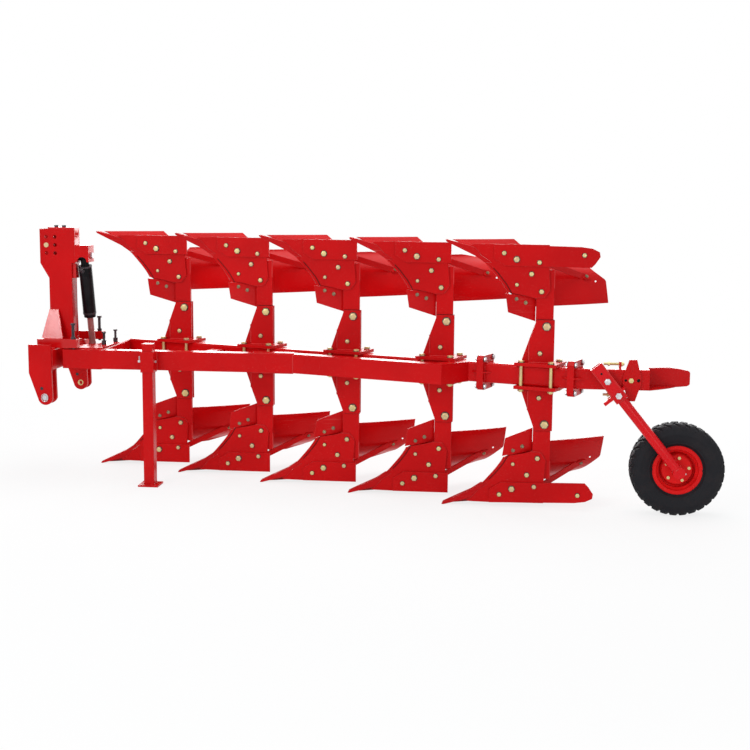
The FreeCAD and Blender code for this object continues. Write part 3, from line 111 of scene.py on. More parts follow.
class Wire:
    """One output socket, with arithmetic."""

    def __init__(self, graph, socket):
        self.graph = graph
        self.socket = socket

    def join(self, operation, first, second):
        return self.graph.node("ShaderNodeMath", {"operation": operation}, {0: first, 1: second})

    def __add__(self, other):
        return self.join("ADD", self, other)

    def __rsub__(self, other):
        return self.join("SUBTRACT", other, self)

    def __mul__(self, other):
        return self.join("MULTIPLY", self, other)

    __radd__ = __add__
    __rmul__ = __mul__


class Graph:
    """One node tree."""

    def __init__(self, tree):
        self.tree = tree
        self.tree.nodes.clear()

    def node(self, kind, settings=None, values=None, output=0):
        made = self.tree.nodes.new(kind)
        for key, value in (settings or {}).items():
            setattr(made, key, value)
        for key, value in (values or {}).items():
            if isinstance(value, Wire):
                self.tree.links.new(value.socket, made.inputs[key])
            else:
                made.inputs[key].default_value = value
        return Wire(self, made.outputs[output])

    def between(self, value, start, end):
        """Zero below start, one above end, and smooth between them."""
        settings = {"interpolation_type": "SMOOTHSTEP"}
        values = {"Value": value, "From Min": start, "From Max": end}
        return self.node("ShaderNodeMapRange", settings, values)

    def vectors(self, operation, first, second=(0, 0, 0), output=0):
        values = {0: first, 1: second}
        return self.node("ShaderNodeVectorMath", {"operation": operation}, values, output)

    def mix(self, share, first, second):
        colours = [c if isinstance(c, Wire) else (*c, 1) for c in (first, second)]
        values = {0: share, 6: colours[0], 7: colours[1]}
        return self.node("ShaderNodeMix", {"data_type": "RGBA"}, values, output=2)

    def seen_directly(self):
        """One for rays of the camera, of gloss and through glass, and zero for the rest."""
        rays = [self.node("ShaderNodeLightPath", output=kind + " Ray")
                for kind in ("Is Camera", "Is Glossy", "Is Transmission")]
        either = rays[0].join("MAXIMUM", rays[0], rays[1])
        return either.join("MAXIMUM", either, rays[2])

    def finish_with(self, kind, shader):
        end = self.tree.nodes.new(kind)
        self.tree.links.new(shader.socket, end.inputs["Surface"])


# %% [markdown]
# A Finish is the Graph of one material. It adds noise that is fixed to the piece, the
# rounding of sharp edges, and bump.

# %% Finish


class Finish(Graph):
    """One procedural material."""

    def __init__(self, name):
        self.material = bpy.data.materials.new(name)
        self.material.use_nodes = True
        super().__init__(self.material.node_tree)
        self.place = self.node("ShaderNodeTexCoord", output="Object")

    def noise(self, scale, detail=2.0, stretch=(1, 1, 1)):
        place = self.node("ShaderNodeMapping", {}, {"Vector": self.place, "Scale": stretch})
        values = {"Vector": place, "Scale": scale, "Detail": detail}
        return self.node("ShaderNodeTexNoise", {}, values)

    def edges(self, radius):
        """How sharply the surface bends here, and the normal of the rounded edge."""
        rounded = self.node("ShaderNodeBevel", {"samples": 4}, {"Radius": radius})
        flat = self.node("ShaderNodeNewGeometry", output="Normal")
        likeness = self.vectors("DOT_PRODUCT", rounded, flat, "Value")
        return self.between(1 - likeness, 0.02, 0.25), rounded

    def bump(self, height, strength, distance, normal=None):
        values = {"Height": height, "Strength": strength, "Distance": distance}
        if normal:
            values["Normal"] = normal
        return self.node("ShaderNodeBump", {}, values)

    def surface(self, colour, rough, normal, others):
        values = {"Base Color": colour, "Roughness": rough, "Normal": normal, **others}
        shader = self.node("ShaderNodeBsdfPrincipled", {}, values)
        self.finish_with("ShaderNodeOutputMaterial", shader)
        return self.material


print("shader helpers ready")

# %% [markdown]
# ## Paint
# Sprayed gloss red is never one colour. The film is thicker in places and it has a fine
# orange peel. Along sharp edges it is pale, most on the parts that meet the soil: partly
# worn thin, partly a painted highlight. One function makes every red, and its numbers say
# how worn and how pale-edged the piece is.

# %% Red paint
PALE_EDGE_WEAR_AND_SHEEN = (0.86, 0.30, 0.27)
PALE_DUST = (0.84, 0.42, 0.36)
PALE_SCUFF = (0.80, 0.38, 0.33)


def red_paint(name, colour, deep, edge_wear_and_sheen=0.15, scuff=0.0, grain=0.0, gloss=0.30, shine=0.10):
    finish = Finish(name)
    cloud = finish.noise(2.2, 4.0)
    patch = finish.between(cloud, 0.35, 0.68)
    paint = finish.mix(patch * 0.75, colour, deep)
    sharp, rounded = finish.edges(0.003)
    chips = finish.between(finish.noise(70.0, 3.0), 0.42, 0.66)
    # Pale sharp edges: partly worn paint, partly a painted highlight.
    paint = finish.mix(sharp * (0.35 + chips * 0.65) * edge_wear_and_sheen, paint, PALE_EDGE_WEAR_AND_SHEEN)
    dust = finish.between(finish.noise(240.0, 1.0), 0.70, 0.78)
    paint = finish.mix(dust * 0.25, paint, PALE_DUST)
    rough = gloss + patch * 0.08 + dust * 0.2
    if scuff:
        lines = finish.noise(6.0, 5.0, (1.0, 1.0, 26.0))
        marks = finish.between(lines, 0.60, 0.72) * finish.between(finish.noise(3.1, 2.0), 0.50, 0.62)
        paint = finish.mix(marks * scuff, paint, PALE_SCUFF)
        rough = rough + marks * 0.2
    peel = finish.noise(330.0, 2.0)
    height = peel * 0.4 + cloud * 0.6
    if grain:
        height = height + finish.noise(95.0, 5.0) * grain
    normal = finish.bump(height, 0.16, 0.0012, rounded)
    return finish.surface(paint, rough, normal, {"Specular IOR Level": shine})


BRIGHT = (0.61, 0.0035, 0.0050)
DEEP = (0.51, 0.0025, 0.0038)
gloss_red = red_paint("gloss red", BRIGHT, DEEP, gloss=0.20, shine=0.11)
fresh_red = red_paint("fresh gloss red", BRIGHT, DEEP, edge_wear_and_sheen=0.3, gloss=0.13, shine=0.34)
arm_red = red_paint("arm red", (0.72, 0.004, 0.009), (0.62, 0.003, 0.007), gloss=0.18, shine=0.17)
plate_red = red_paint("plate red", BRIGHT, DEEP, edge_wear_and_sheen=0.35, gloss=0.34)
blade_red = red_paint("blade red", (0.62, 0.0045, 0.0060), (0.53, 0.003, 0.0045), 0.45, 0.10, gloss=0.28)
forged_red = red_paint("forged red", (0.58, 0.005, 0.007), (0.46, 0.003, 0.005), 0.5, 0.2, 1.4, 0.38)
wheel_red = red_paint("wheel red", (0.80, 0.010, 0.010), (0.70, 0.007, 0.008), edge_wear_and_sheen=0.2)
seam_red = red_paint("seam red", (0.70, 0.045, 0.045), (0.56, 0.012, 0.014), edge_wear_and_sheen=0.3, grain=0.6)
# The dark red of the steps is painted shade.
STEP_SHADE_COLOURS = (0.13, 0.004, 0.005), (0.07, 0.003, 0.004)
step_shade_red = red_paint("painted shade in the steps", *STEP_SHADE_COLOURS, grain=0.6, gloss=0.5)
print("nine reds")

# %% [markdown]
# ## Metal, black paint and rubber
# The bolts are yellow zinc: a thin film that drifts from straw to rose and green over a
# few centimetres. Bare steel is duller and streaked, blackened steel nearly black, and
# every metal is paler at its corners, partly worn and partly a painted highlight. The
# cylinder is sprayed a semi-gloss black, its edges also painted paler.

# %% Bolts, steel and black


def bolt_metal(name, colour, drift, tint, metallic, rough):
    finish = Finish(name)
    film = finish.between(finish.noise(9.0, 2.0), 0.36, 0.64)
    metal = finish.mix(film, colour, drift)
    stain = finish.between(finish.noise(38.0, 4.0), 0.52, 0.72)
    metal = finish.mix(stain * 0.6, metal, tint)
    sharp, rounded = finish.edges(0.0012)
    # Paler corners: partly wear, partly a painted highlight.
    metal = finish.mix(sharp * 0.5, metal, tuple(min(1.0, value * 1.35 + 0.03) for value in colour))
    streak = finish.noise(120.0, 3.0, (1.0, 7.0, 1.0))
    normal = finish.bump(streak, 0.12, 0.0006, rounded)
    return finish.surface(metal, rough + stain * 0.15, normal, {"Metallic": metallic})


ZINC = (0.66, 0.55, 0.24), (0.60, 0.44, 0.24), (0.36, 0.35, 0.17)
DULL_ZINC = (0.34, 0.30, 0.17), (0.26, 0.22, 0.15), (0.14, 0.12, 0.08)
STEEL = (0.62, 0.62, 0.63), (0.52, 0.52, 0.54), (0.36, 0.34, 0.33)
DARK_STEEL = (0.035, 0.034, 0.040), (0.06, 0.05, 0.06), (0.10, 0.07, 0.06)
ROD = (0.42, 0.20, 0.19), (0.34, 0.21, 0.20), (0.50, 0.36, 0.34)
zinc = bolt_metal("yellow zinc", *ZINC, 0.60, 0.34)
old_zinc = bolt_metal("dull zinc", *DULL_ZINC, 0.60, 0.40)
steel = bolt_metal("bare steel", *STEEL, 0.80, 0.34)
dark_steel = bolt_metal("blackened steel", *DARK_STEEL, 0.6, 0.42)
rod_grey = bolt_metal("rod grey", *ROD, 0.45, 0.30)


def cylinder_black():
    finish = Finish("cylinder black")
    cloud = finish.between(finish.noise(7.0, 3.0), 0.38, 0.62)
    paint = finish.mix(cloud, (0.004, 0.004, 0.005), (0.010, 0.009, 0.011))
    sharp, rounded = finish.edges(0.003)
    # Paler edges on the black: partly worn paint, partly a painted highlight.
    paint = finish.mix(sharp * 0.5, paint, (0.12, 0.12, 0.13))
    dust = finish.between(finish.noise(60.0, 4.0), 0.58, 0.75)
    paint = finish.mix(dust * 0.2, paint, (0.05, 0.040, 0.040))
    normal = finish.bump(finish.noise(300.0), 0.12, 0.001, rounded)
    return finish.surface(paint, 0.28 + dust * 0.25, normal, {"Specular IOR Level": 0.12})


black = cylinder_black()
print("metals and black ready")

# %% [markdown]
# Rubber is dark grey, not black, and matt. Dust lies in patches, and fine moulded rings
# run round the side walls. The rings follow the distance from the axle, which is worked
# out from the two coordinates in the wheel's plane, so they turn with the wheel.

# %% Rubber
wheel_low, wheel_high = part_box("tyre")
axle = (wheel_low + wheel_high) / 2


def rubber():
    finish = Finish("tyre rubber")
    parts = finish.vectors("SUBTRACT", finish.place, axle)
    flat = finish.vectors("MULTIPLY", parts, (1, 0, 1))
    away = finish.vectors("LENGTH", flat, output="Value")
    rings = away.join("SINE", away * 1150.0, 0.0)
    band = finish.between(away, 0.168, 0.176) * (1 - finish.between(away, 0.232, 0.240))
    dust = finish.between(finish.noise(14.0, 5.0), 0.46, 0.70)
    colour = finish.mix(dust * 0.6, (0.008, 0.008, 0.011), (0.026, 0.023, 0.025))
    sharp, rounded = finish.edges(0.004)
    # Paler edges on the rubber: partly scuffing, partly a painted highlight.
    colour = finish.mix(sharp * 0.3, colour, (0.050, 0.046, 0.046))
    grains = finish.noise(420.0, 2.0)
    height = rings * band * 0.5 + grains * 0.5
    normal = finish.bump(height, 0.35, 0.0012, rounded)
    return finish.surface(colour, 0.62 + dust * 0.2, normal, {"Specular IOR Level": 0.20})


tyre_black = rubber()
print("rubber rings about", [round(value, 3) for value in axle])

# %% [markdown]
# ## The finish of every solid
# The record names a slot for each node, and most of them take the finish of that slot.
# The blades and plates of the bodies, the clamp plates, the forged points, the mast's feet,
# the stop bars and the wheel with its arm are red too, but each is worn in its own way.

# %% Finishes on the nodes
slot_finish = {
    "red_paint": gloss_red,
    "zinc_bolts": zinc,
    "steel_bolts": steel,
    "dark_bolts": dark_steel,
    "black_paint": black,
    "rod_steel": rod_grey,
    "tyre_rubber": tyre_black,
}
special = {}
for name in nodes:
    if name.endswith(("mouldboards", "shares", "trash_boards")):
        special[name] = blade_red
    elif name.endswith(("frogs", "landsides", "stalks", "leg_plates", "clamp_plates", "stays")):
        special[name] = plate_red
special.update(share_points=forged_red, hub=wheel_red, rim=wheel_red)
special.update(mast_core=fresh_red, stop_bars=fresh_red, wheel_arm=arm_red)
slot_of = {part["node"]: part["material_slot"] for part in frame["record"]["subparts"]}
for name, node in nodes.items():
    node.data.materials.clear()
    node.data.materials.append(special.get(name, slot_finish[slot_of[name]]))
print(len(special), "nodes with a finish of their own")

# %% [markdown]
# ## Making pieces
# A piece is a mesh with a finish and a body that it rides on. Small pieces of one kind on
# one body are gathered in one Shape and made once, so the scene stays light.

# %% Gathering a mesh


class Shape:
    """Points and faces collected from many small forms."""

    def __init__(self):
        self.points = []
        self.faces = []

    def rings(self, rings, closed=False, caps=True):
        """Joins rings of equally many points into a skin."""
        first = len(self.points)
        count = len(rings[0])
        for ring in rings:
            self.points += [tuple(point) for point in ring]
        total = len(rings) if closed else len(rings) - 1
        for row in range(total):
            here = first + row * count
            there = first + (row + 1) % len(rings) * count
            for side in range(count):
                other = (side + 1) % count
                self.faces.append((here + side, here + other, there + other, there + side))
        if caps and not closed:
            self.faces.append(tuple(first + side for side in reversed(range(count))))
            last = first + (len(rings) - 1) * count
            self.faces.append(tuple(last + side for side in range(count)))

    def make(self, name, body, finish, smooth_angle=35):
        """One piece of all the forms, with every face turned outwards."""
        mesh = bpy.data.meshes.new(name)
        mesh.from_pydata(self.points, [], self.faces)
        mesh.materials.append(finish)
        mesh.validate()
        skin = bmesh.new()
        skin.from_mesh(mesh)
        bmesh.ops.recalc_face_normals(skin, faces=skin.faces)
        skin.to_mesh(mesh)
        skin.free()
        mesh.shade_smooth()
        mesh.set_sharp_from_angle(angle=math.radians(smooth_angle))
        piece = bpy.data.objects.new(name, mesh)
        bpy.context.scene.collection.objects.link(piece)
        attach(piece, body)
        print(name, "-", len(self.points), "points on", body)
        return piece


def across(way):
    """Two directions square to a way and to each other; they jump where it gets steep."""
    helper = Vector((0, 0, 1)) if abs(way.z) < 0.8 else Vector((1, 0, 0))
    first = way.cross(helper).normalized()
    return first, way.cross(first).normalized()


def circle(centre, way, radius, count, turn=0.0):
    first, second = across(way)
    points = []
    for step in range(count):
        angle = turn + math.tau * step / count
        points.append(centre + (first * math.cos(angle) + second * math.sin(angle)) * radius)
    return points


def lathe(shape, base, way, profile, count=24):
    """Turns (height, radius) pairs, in millimetres, about a way from a base point."""
    way = way.normalized()
    rings = [circle(base + way * height * MM, way, radius * MM, count) for height, radius in profile]
    shape.rings(rings)


print("shape helpers ready")

# %% [markdown]
# ## Weld seams
# Every plate is held by a fillet weld. A weld is a row of overlapping puddles, so each
# seam is a thin round bead whose thickness swells and falls every few millimetres. The
# bead's middle lies in the corner, so most of it is sunk in the plates.

# %% Bead along a line
random.seed(7)
RIPPLE = 4.5


def bead(shape, line, size=4.0, closed=False):
    """A rippled bead along a list of places."""
    places = []
    pairs = list(zip(line, line[1:] + line[:1])) if closed else list(zip(line, line[1:]))
    for start, end in pairs:
        count = max(1, round((end - start).length / (RIPPLE * MM)))
        places += [start.lerp(end, step / count) for step in range(count)]
    if not closed:
        places.append(line[-1])
    rings = []
    for number, place in enumerate(places):
        before = places[number - 1] if number or closed else place
        after = places[(number + 1) % len(places)] if number < len(places) - 1 or closed else place
        way = (after - before).normalized()
        swell = (0.86, 1.08)[number % 2] * random.uniform(0.92, 1.06)
        rings.append(circle(place, way, size * swell * MM, 6))
    shape.rings(rings, closed=closed)


def straight(shape, start, end, size=4.0):
    bead(shape, [at(*start), at(*end)], size)


def lengthwise(shape, x0, x1, y, z, size=4.0):
    straight(shape, (x0, y, z), (x1, y, z), size)


def upwards(shape, x, y, z0, z1, size=4.0):
    straight(shape, (x, y, z0), (x, y, z1), size)


def loop(shape, corners, size=4.0):
    bead(shape, [at(*corner) for corner in corners], size, closed=True)


def ring_seam(shape, centre, way, radius, size=4.0):
    bead(shape, circle(centre, way.normalized(), radius * MM, 40), size, closed=True)


def cut_square(half, flat):
    """The eight corners of a square whose own corners are cut off."""
    outline = []
    for a, b in ((-1, -1), (1, -1), (1, 1), (-1, 1)):
        pair = [(a * half, b * flat), (a * flat, b * half)]
        outline += pair if a * b > 0 else pair[::-1]
    return outline


def hoop(shape, line, size):
    """A smooth tube of eight sides along a closed line; it is pinched where that runs upright."""
    last = len(line)
    rings = [circle(line[i], line[(i + 1) % last] - line[i - 1], size * MM, 8) for i in range(last)]
    shape.rings(rings, closed=True)


print("bead step", RIPPLE, "mm")

# %% [markdown]
# The headstock's seams tie the link plates to the crossbeam, the mast, its feet and the
# stop bars to the top of it, the bearing housing into it, and the cylinder's bracket to
# the mast.

# %% Seams of the headstock
HALF_CROSS = 75.0
LINK_PLATE_FACES = (310.0, 330.0)
OUTER_LINK_FACE = 395.0
MAST_FACE = 53.0
MAST_FOOT = 155.0
FOOT_TOP = 320.0
STOP_BAR_FACES = (260.0, 310.0)
BRACKET_BACK, BRACKET_LOW, BRACKET_TOP = 134.0, 657.0, 770.0
HOUSING_RADIUS = 65.0
head_seams = Shape()
for side in (-1, 1):
    for y in LINK_PLATE_FACES:
        lengthwise(head_seams, -HALF_CROSS, HALF_CROSS, side * y, -HALF_CROSS)
    around = cut_square(HALF_CROSS, 68.0)
    loop(head_seams, [(x, side * OUTER_LINK_FACE, z) for x, z in around])
    for y in (MAST_FACE, MAST_FOOT):
        lengthwise(head_seams, -HALF_CROSS, HALF_CROSS, side * y, HALF_CROSS)
    lengthwise(head_seams, -54.0, 10.0, side * 56.0, FOOT_TOP)
    for y in STOP_BAR_FACES:
        lengthwise(head_seams, -60.0, 66.0, side * y, HALF_CROSS)
    upwards(head_seams, BRACKET_BACK, side * MAST_FACE, BRACKET_LOW, BRACKET_TOP, 3.5)
    ring_seam(head_seams, at(side * HALF_CROSS, 0, 0), Vector((1, 0, 0)), HOUSING_RADIUS, 5.0)
head_seams.make("headstock_seams", "headstock", seam_red)

# %% [markdown]
# The beam runs askew, so a small function gives places along it and across it, as a
# joiner would measure them: so far back, so far to the side and so high.

# %% Places along the skewed beam
PITCH = 650.0
STEP = 235.0
FIRST_CLAMP = 790.0
FIRST_LEG = 810.0
FLANGES = (3036.0, 3608.0)
FLANGE_PAIR = 22.0
CAP_START, TUBE_BEND = 1450.0, 1730.0
NEAR_TUBE_FACE = -310.0
SKEW = math.atan2(STEP, PITCH)
along = Vector((math.cos(SKEW), -math.sin(SKEW), 0))
aside = Vector((math.sin(SKEW), math.cos(SKEW), 0))
HALF_BEAM = 65.0


def beam_y(x):
    return 341.0 - (x - FIRST_CLAMP) * STEP / PITCH


def on_beam(x, forward, side, z):
    """The beam's middle at x, then moved along it, across it and up, in millimetres."""
    return at(x, beam_y(x), z) + (along * forward + aside * side) * MM


def near_y(x, inward):
    """The near tube's outer face at x, moved inwards; behind its bend the tube is skewed."""
    return NEAR_TUBE_FACE + inward - max(0.0, x - TUBE_BEND) * STEP / PITCH


print("beam skew", round(math.degrees(SKEW), 2), "degrees")

# %% [markdown]
# The frame's seams run round the flanges that are slipped over the beam, along the caps
# where the near tube's pieces meet, and down the ends of the cross tubes. They follow the
# tubes' own sizes, so that each seam lies in its corner.

# %% Seams of the frame
SLEEVE = (696.5, 787.5)
seams = Shape()
for x in FLANGES:
    for side in (-1, 1):
        if x == FLANGES[1] and side > 0:
            continue
        outline = [on_beam(x, side * FLANGE_PAIR, a, b) for a, b in cut_square(HALF_BEAM, 52.0)]
        bead(seams, outline, 4.0, closed=True)
for z in (-HALF_BEAM, HALF_BEAM):
    lengthwise(seams, 150.0, 380.0, -267.5, z, 4.5)
    for inward in (10.0, 75.0):
        lengthwise(seams, CAP_START, TUBE_BEND, near_y(0, inward), z, 3.5)
    for x in (CAP_START, TUBE_BEND):
        straight(seams, (x, -300.0, z), (x, -235.0, z), 3.5)
upwards(seams, TUBE_BEND, NEAR_TUBE_FACE, -64.0, 64.0, 3.5)
for x in (280.0, 380.0, 150.0):
    upwards(seams, x, -225.0, -64.0, 64.0)
for number in range(3):
    x = 1060.0 + number * PITCH
    for reach in (0.0, 80.0):
        upwards(seams, x + reach, near_y(x + reach, 85.0), -40.0, 40.0, 3.5)
for z in (-71.0, 71.0):
    lengthwise(seams, *SLEEVE, NEAR_TUBE_FACE, z * 0.9, 3.0)
for x in SLEEVE:
    upwards(seams, x, NEAR_TUBE_FACE, -64.0, 64.0)
seams.make("frame_seams", "frame", seam_red)

# %% [markdown]
# Each of the ten bodies hangs on a leg whose two cheek plates are welded upright on a
# clamp plate, and its flat stalk is welded to the back of the frog. The upper bodies
# are the lower ones mirrored through the turnover axis, so a sign turns the heights.

# %% Body stations
REACH = 639.0
DEPTH = 862.0
stations = [(FIRST_LEG + number * PITCH, 310.0 - number * STEP, sign)
            for number in range(5) for sign in (-1, 1)]

# %% [markdown]
# The welds of one body are drawn in its own measures: two under the cheek plates, one
# round the frog's shoulder, two down the sides of the stalk and one up the near cheek
# plate. The loop then repeats them for all ten bodies.

# %% Seams of the bodies
NEAR_CHEEK, FAR_CHEEK = 1.0, 61.0
STALK_FACE = 16.0
CLAMP_FACE = 85.0
CHEEK_RIB = -96.0
body_seams = Shape()
frog_edge = [(-0.105, 0.577), (-0.005, 0.584), (0.047, 0.640)]
for x, y, sign in stations:
    stalk_y = y + STALK_FACE
    for offset in (NEAR_CHEEK, FAR_CHEEK):
        lengthwise(body_seams, x - 96.0, x + 64.5, y + offset, sign * CLAMP_FACE, 4.5)
    line = [at(x + u * REACH, stalk_y, sign * h * DEPTH) for u, h in frog_edge]
    bead(body_seams, line[:2] + [line[1].lerp(line[2], 0.8)], 3.5)
    for reach in (-56.0, 56.0):
        upwards(body_seams, x + reach, stalk_y, sign * 560.0, sign * 674.0)
    upwards(body_seams, x + CHEEK_RIB, y + NEAR_CHEEK, sign * 97.0, sign * 225.0, 4.5)
body_seams.make("body_seams", "frame", seam_red)

# %% [markdown]
# Where one plate ends on another it leaves a step, and the shade in the step is painted
# as a dark bead: one follows the shin behind the skin's front edge, one crosses the stalk
# where the cheek plates end.

# %% Painted shade in the steps between the plates
SHIN_INSET = 26.0
CHEEK_END = 0.4155
plate_step_shades = Shape()
shin_edge = [(-0.345, 0.560), (-0.385, 0.625), (-0.426, 0.677), (-0.509, 0.755), (-0.560, 0.795)]
for x, y, sign in stations:
    line = [at(x + u * REACH + SHIN_INSET, y, sign * h * DEPTH) for u, h in shin_edge]
    bead(plate_step_shades, line, 3.2)
    lengthwise(plate_step_shades, x - 50.0, x + 63.0, y + STALK_FACE, sign * CHEEK_END * DEPTH, 3.0)
plate_step_shades.make("plate_step_shades", "frame", step_shade_red)

# %% [markdown]
# ## Washers, crowns and threads
# A plain hexagon looks unfinished close up. A real head has a round washer under it and
# a low turned crown on top, so both are turned on a lathe and set on the bolts of the
# clamps, legs, bodies and flanges. The washers are dark, partly dirt and partly painted
# shade, which draws a dark ring round each bright head.

# %% Washers and crowns of the bolts
WASHER_SHARE = 0.66
CROWN_SHARE = 0.47
bolt_trim = Shape()
flange_trim = Shape()
washers = Shape()


def dress_bolt(shape, seat, way, radius, head, flats):
    """Washer on the seat and crown on the head; seat is a place, way points outwards."""
    outer = flats * WASHER_SHARE
    rim = [(0, outer - 0.8), (0.8, outer), (2.8, outer), (3.6, outer - 0.8)]
    lathe(washers, seat - way * 0.5 * MM, way, rim)
    top = flats * CROWN_SHARE
    profile = [(head - 1.0, top), (head + 0.4, top - 0.3)]
    profile += [(head + 1.0, top - 1.6), (head + 1.1, radius * 0.5)]
    lathe(shape, seat, way, profile, 20)


NEAR, FAR = Vector((0, -1, 0)), Vector((0, 1, 0))
for number in range(5):
    for forward in (-100.0, 100.0):
        for side in (-83.0, 83.0):
            for sign in (-1, 1):
                seat = on_beam(FIRST_CLAMP + number * PITCH, forward, side, sign * CLAMP_FACE)
                dress_bolt(bolt_trim, seat, Vector((0, 0, sign)), 11.0, 14.3, 34.1)
for x, y, sign in stations:
    for u, h, radius in ((0.022, 0.367, 14.0), (-0.039, 0.167, 8.0)):
        for offset, way in ((NEAR_CHEEK, NEAR), (FAR_CHEEK, FAR)):
            seat = at(x + u * REACH, y + offset, sign * h * DEPTH)
            dress_bolt(bolt_trim, seat, way, radius, 1.3 * radius, 3.1 * radius)
body_bolts = [(-0.415, 0.906, 11.0), (-0.291, 0.861, 15.0), (-0.066, 0.840, 11.0)]
body_bolts += [(-0.141, 0.754, 12.0), (-0.038, 0.625, 12.0), (-0.283, 0.674, 9.0)]
long_landside_bolt = (0.372, 0.896, 11.0)
LANDSIDE_TOP = 0.814
LANDSIDE_PLATE = 14.0
last_leg = stations[-1][0]
for x, y, sign in stations:
    heads = body_bolts + ([long_landside_bolt] if x == last_leg else [])
    for u, h, radius in heads:
        offset = -LANDSIDE_PLATE if h > LANDSIDE_TOP else 0.0
        seat = at(x + u * REACH, y + offset, sign * h * DEPTH)
        dress_bolt(bolt_trim, seat, NEAR, radius, radius, 2.2 * radius)
for x in FLANGES:
    for side in (-77.0, 77.0):
        for z in (-89.0, 89.0):
            for sign in (-1, 1):
                seat = on_beam(x, sign * FLANGE_PAIR, side, z)
                dress_bolt(flange_trim, seat, along * sign, 9.0, 11.7, 27.9)
bolt_trim.make("bolt_crowns", "frame", zinc)
flange_trim.make("flange_crowns", "frame", steel)
# The washers' dark finish is partly dirt and partly painted shade round the heads.
washers.make("washers", "frame", dark_steel)

# %% [markdown]
# The long stop screws, the set screws and the screws at the wheel's arm show their
# threads. A thread this fine reads the same as a stack of ridges, which is far lighter
# than a true helix.

# %% Threads


def thread(shape, start, way, length, radius, pitch=2.5):
    profile = []
    for turn_number in range(int(length / pitch)):
        foot = turn_number * pitch
        profile += [(foot, radius - 0.1), (foot + pitch / 2, radius + 0.9)]
    lathe(shape, start, way, profile, 16)


TOP = Vector((0, 0, 1))
head_threads = Shape()
for side in (-1, 1):
    thread(head_threads, at(190.0, side * 285.0, 153.0), TOP, 78.0, 10.0)
head_threads.make("stop_screw_threads", "headstock", dark_steel)
frame_threads = Shape()
for x, y in ((335.0, -58.0), (360.0, 125.0)):
    thread(frame_threads, at(x, y, 106.0), TOP, 48.0, 8.0)
frame_threads.make("set_screw_threads", "frame", dark_steel)
arm_threads = Shape()
screw_y = beam_y(FLANGES[1]) - HALF_BEAM + 30.0
for side in (-1, 1):
    thread(arm_threads, at(3812.0, screw_y, side * 98.0), Vector((1, 0, 0)), 64.0, 8.0)
arm_threads.make("wheel_screw_threads", "frame", zinc)

# %% [markdown]
# ## Bolts and nuts on the soil face
# The mouldboard's face is curved and the share below it nearly flat, and the plough bolts
# that hold them lie flush. The curved face is known by its leading edge, its angle to the
# line of travel and its bulge, so a place on it is found from a depth and a reach.

# %% The soil face
shin = [(0.401, -0.330), (0.528, -0.340), (0.602, -0.371), (0.677, -0.426)]
shin += [(0.755, -0.509), (0.833, -0.607), (0.884, -0.706), (1.0, -1.247)]
slant = [(0.30, 31.0), (0.755, 31.0), (0.833, 39.0), (0.884, 37.5), (1.0, 26.0)]
SKIN = 790.0


def read(table, share):
    for (s0, v0), (s1, v1) in zip(table, table[1:]):
        if share <= s1 or s1 == table[-1][0]:
            return v0 + (v1 - v0) * (share - s0) / (s1 - s0)


def face_place(h, reach, behind):
    """A place on a body's face in millimetres, and the way that points behind it."""
    angle = math.radians(read(slant, h / DEPTH))
    part = reach / SKIN
    bulge = 0.05 * SKIN * 4 * part * (1 - part) + behind
    back = Vector((math.sin(angle), -math.cos(angle), 0))
    front = read(shin, h / DEPTH) * REACH
    place = Vector((front + reach * math.cos(angle), reach * math.sin(angle), -h)) + back * bulge
    return place, back


def reach_at(u, h, behind):
    low_reach, high_reach = 0.0, SKIN
    for step in range(30):
        middle = (low_reach + high_reach) / 2
        if face_place(h, middle, behind)[0].x < u:
            low_reach = middle
        else:
            high_reach = middle
    return low_reach


def on_body(station, place):
    x, y, sign = station
    return at(x + place.x, y + place.y, place.z * -sign)


def share_place(part, drop):
    """A place on the share: so far along it, and so far down from its upper edge."""
    rows = []
    for h, width in ((719.0, 262.0), (DEPTH, 283.0)):
        slope = math.sin(math.radians(read(slant, h / DEPTH)))
        rows.append(face_place(h, (62.0 + (width - 62.0) * part) / slope, 0.0))
    return rows[0][0].lerp(rows[1][0], drop), rows[0][1].lerp(rows[1][1], drop).normalized()


print("face at mid height:", [round(value) for value in face_place(600.0, 300.0, 0.0)[0]])

# %% [markdown]
# A trash board hangs on two small bolts and a stay's bent foot on one, all with their
# nuts behind. On the soil face only the flush heads of the plough bolts show, ground
# bright by the soil. All of them stand square to the face at their own place.

# %% Nuts on the trash boards and stays, flush heads on the soil face
BACK_OF_TRASH = 17.3
TRASH_BOLTS = ((-182.0, 490.0), (-123.0, 466.0))
SKIN_BOLTS = ((560.0, 70.0), (640.0, 60.0), (700.0, 70.0), (622.0, 624.0), (560.0, 300.0))
SHARE_BOLTS = (0.16, 0.46, 0.76)
SHARE_BOLT_DROP = 0.36
small_nuts = Shape()
flush_heads = Shape()
stay_feet = Shape()


def small_nut(seat, back, washer, nut, crown, bolt_end):
    """Washer, nut and the end of the bolt, standing on the back of a plate."""
    lathe(small_nuts, seat - back * MM, back, [(0, washer), (3.0, washer)], 20)
    lathe(small_nuts, seat, back, [(2.0, nut), (10.0, nut), (11.0, crown)], 6)
    lathe(small_nuts, seat, back, [(10.0, 5.0), (bolt_end, 5.0), (bolt_end + 1.0, 4.0)], 14)


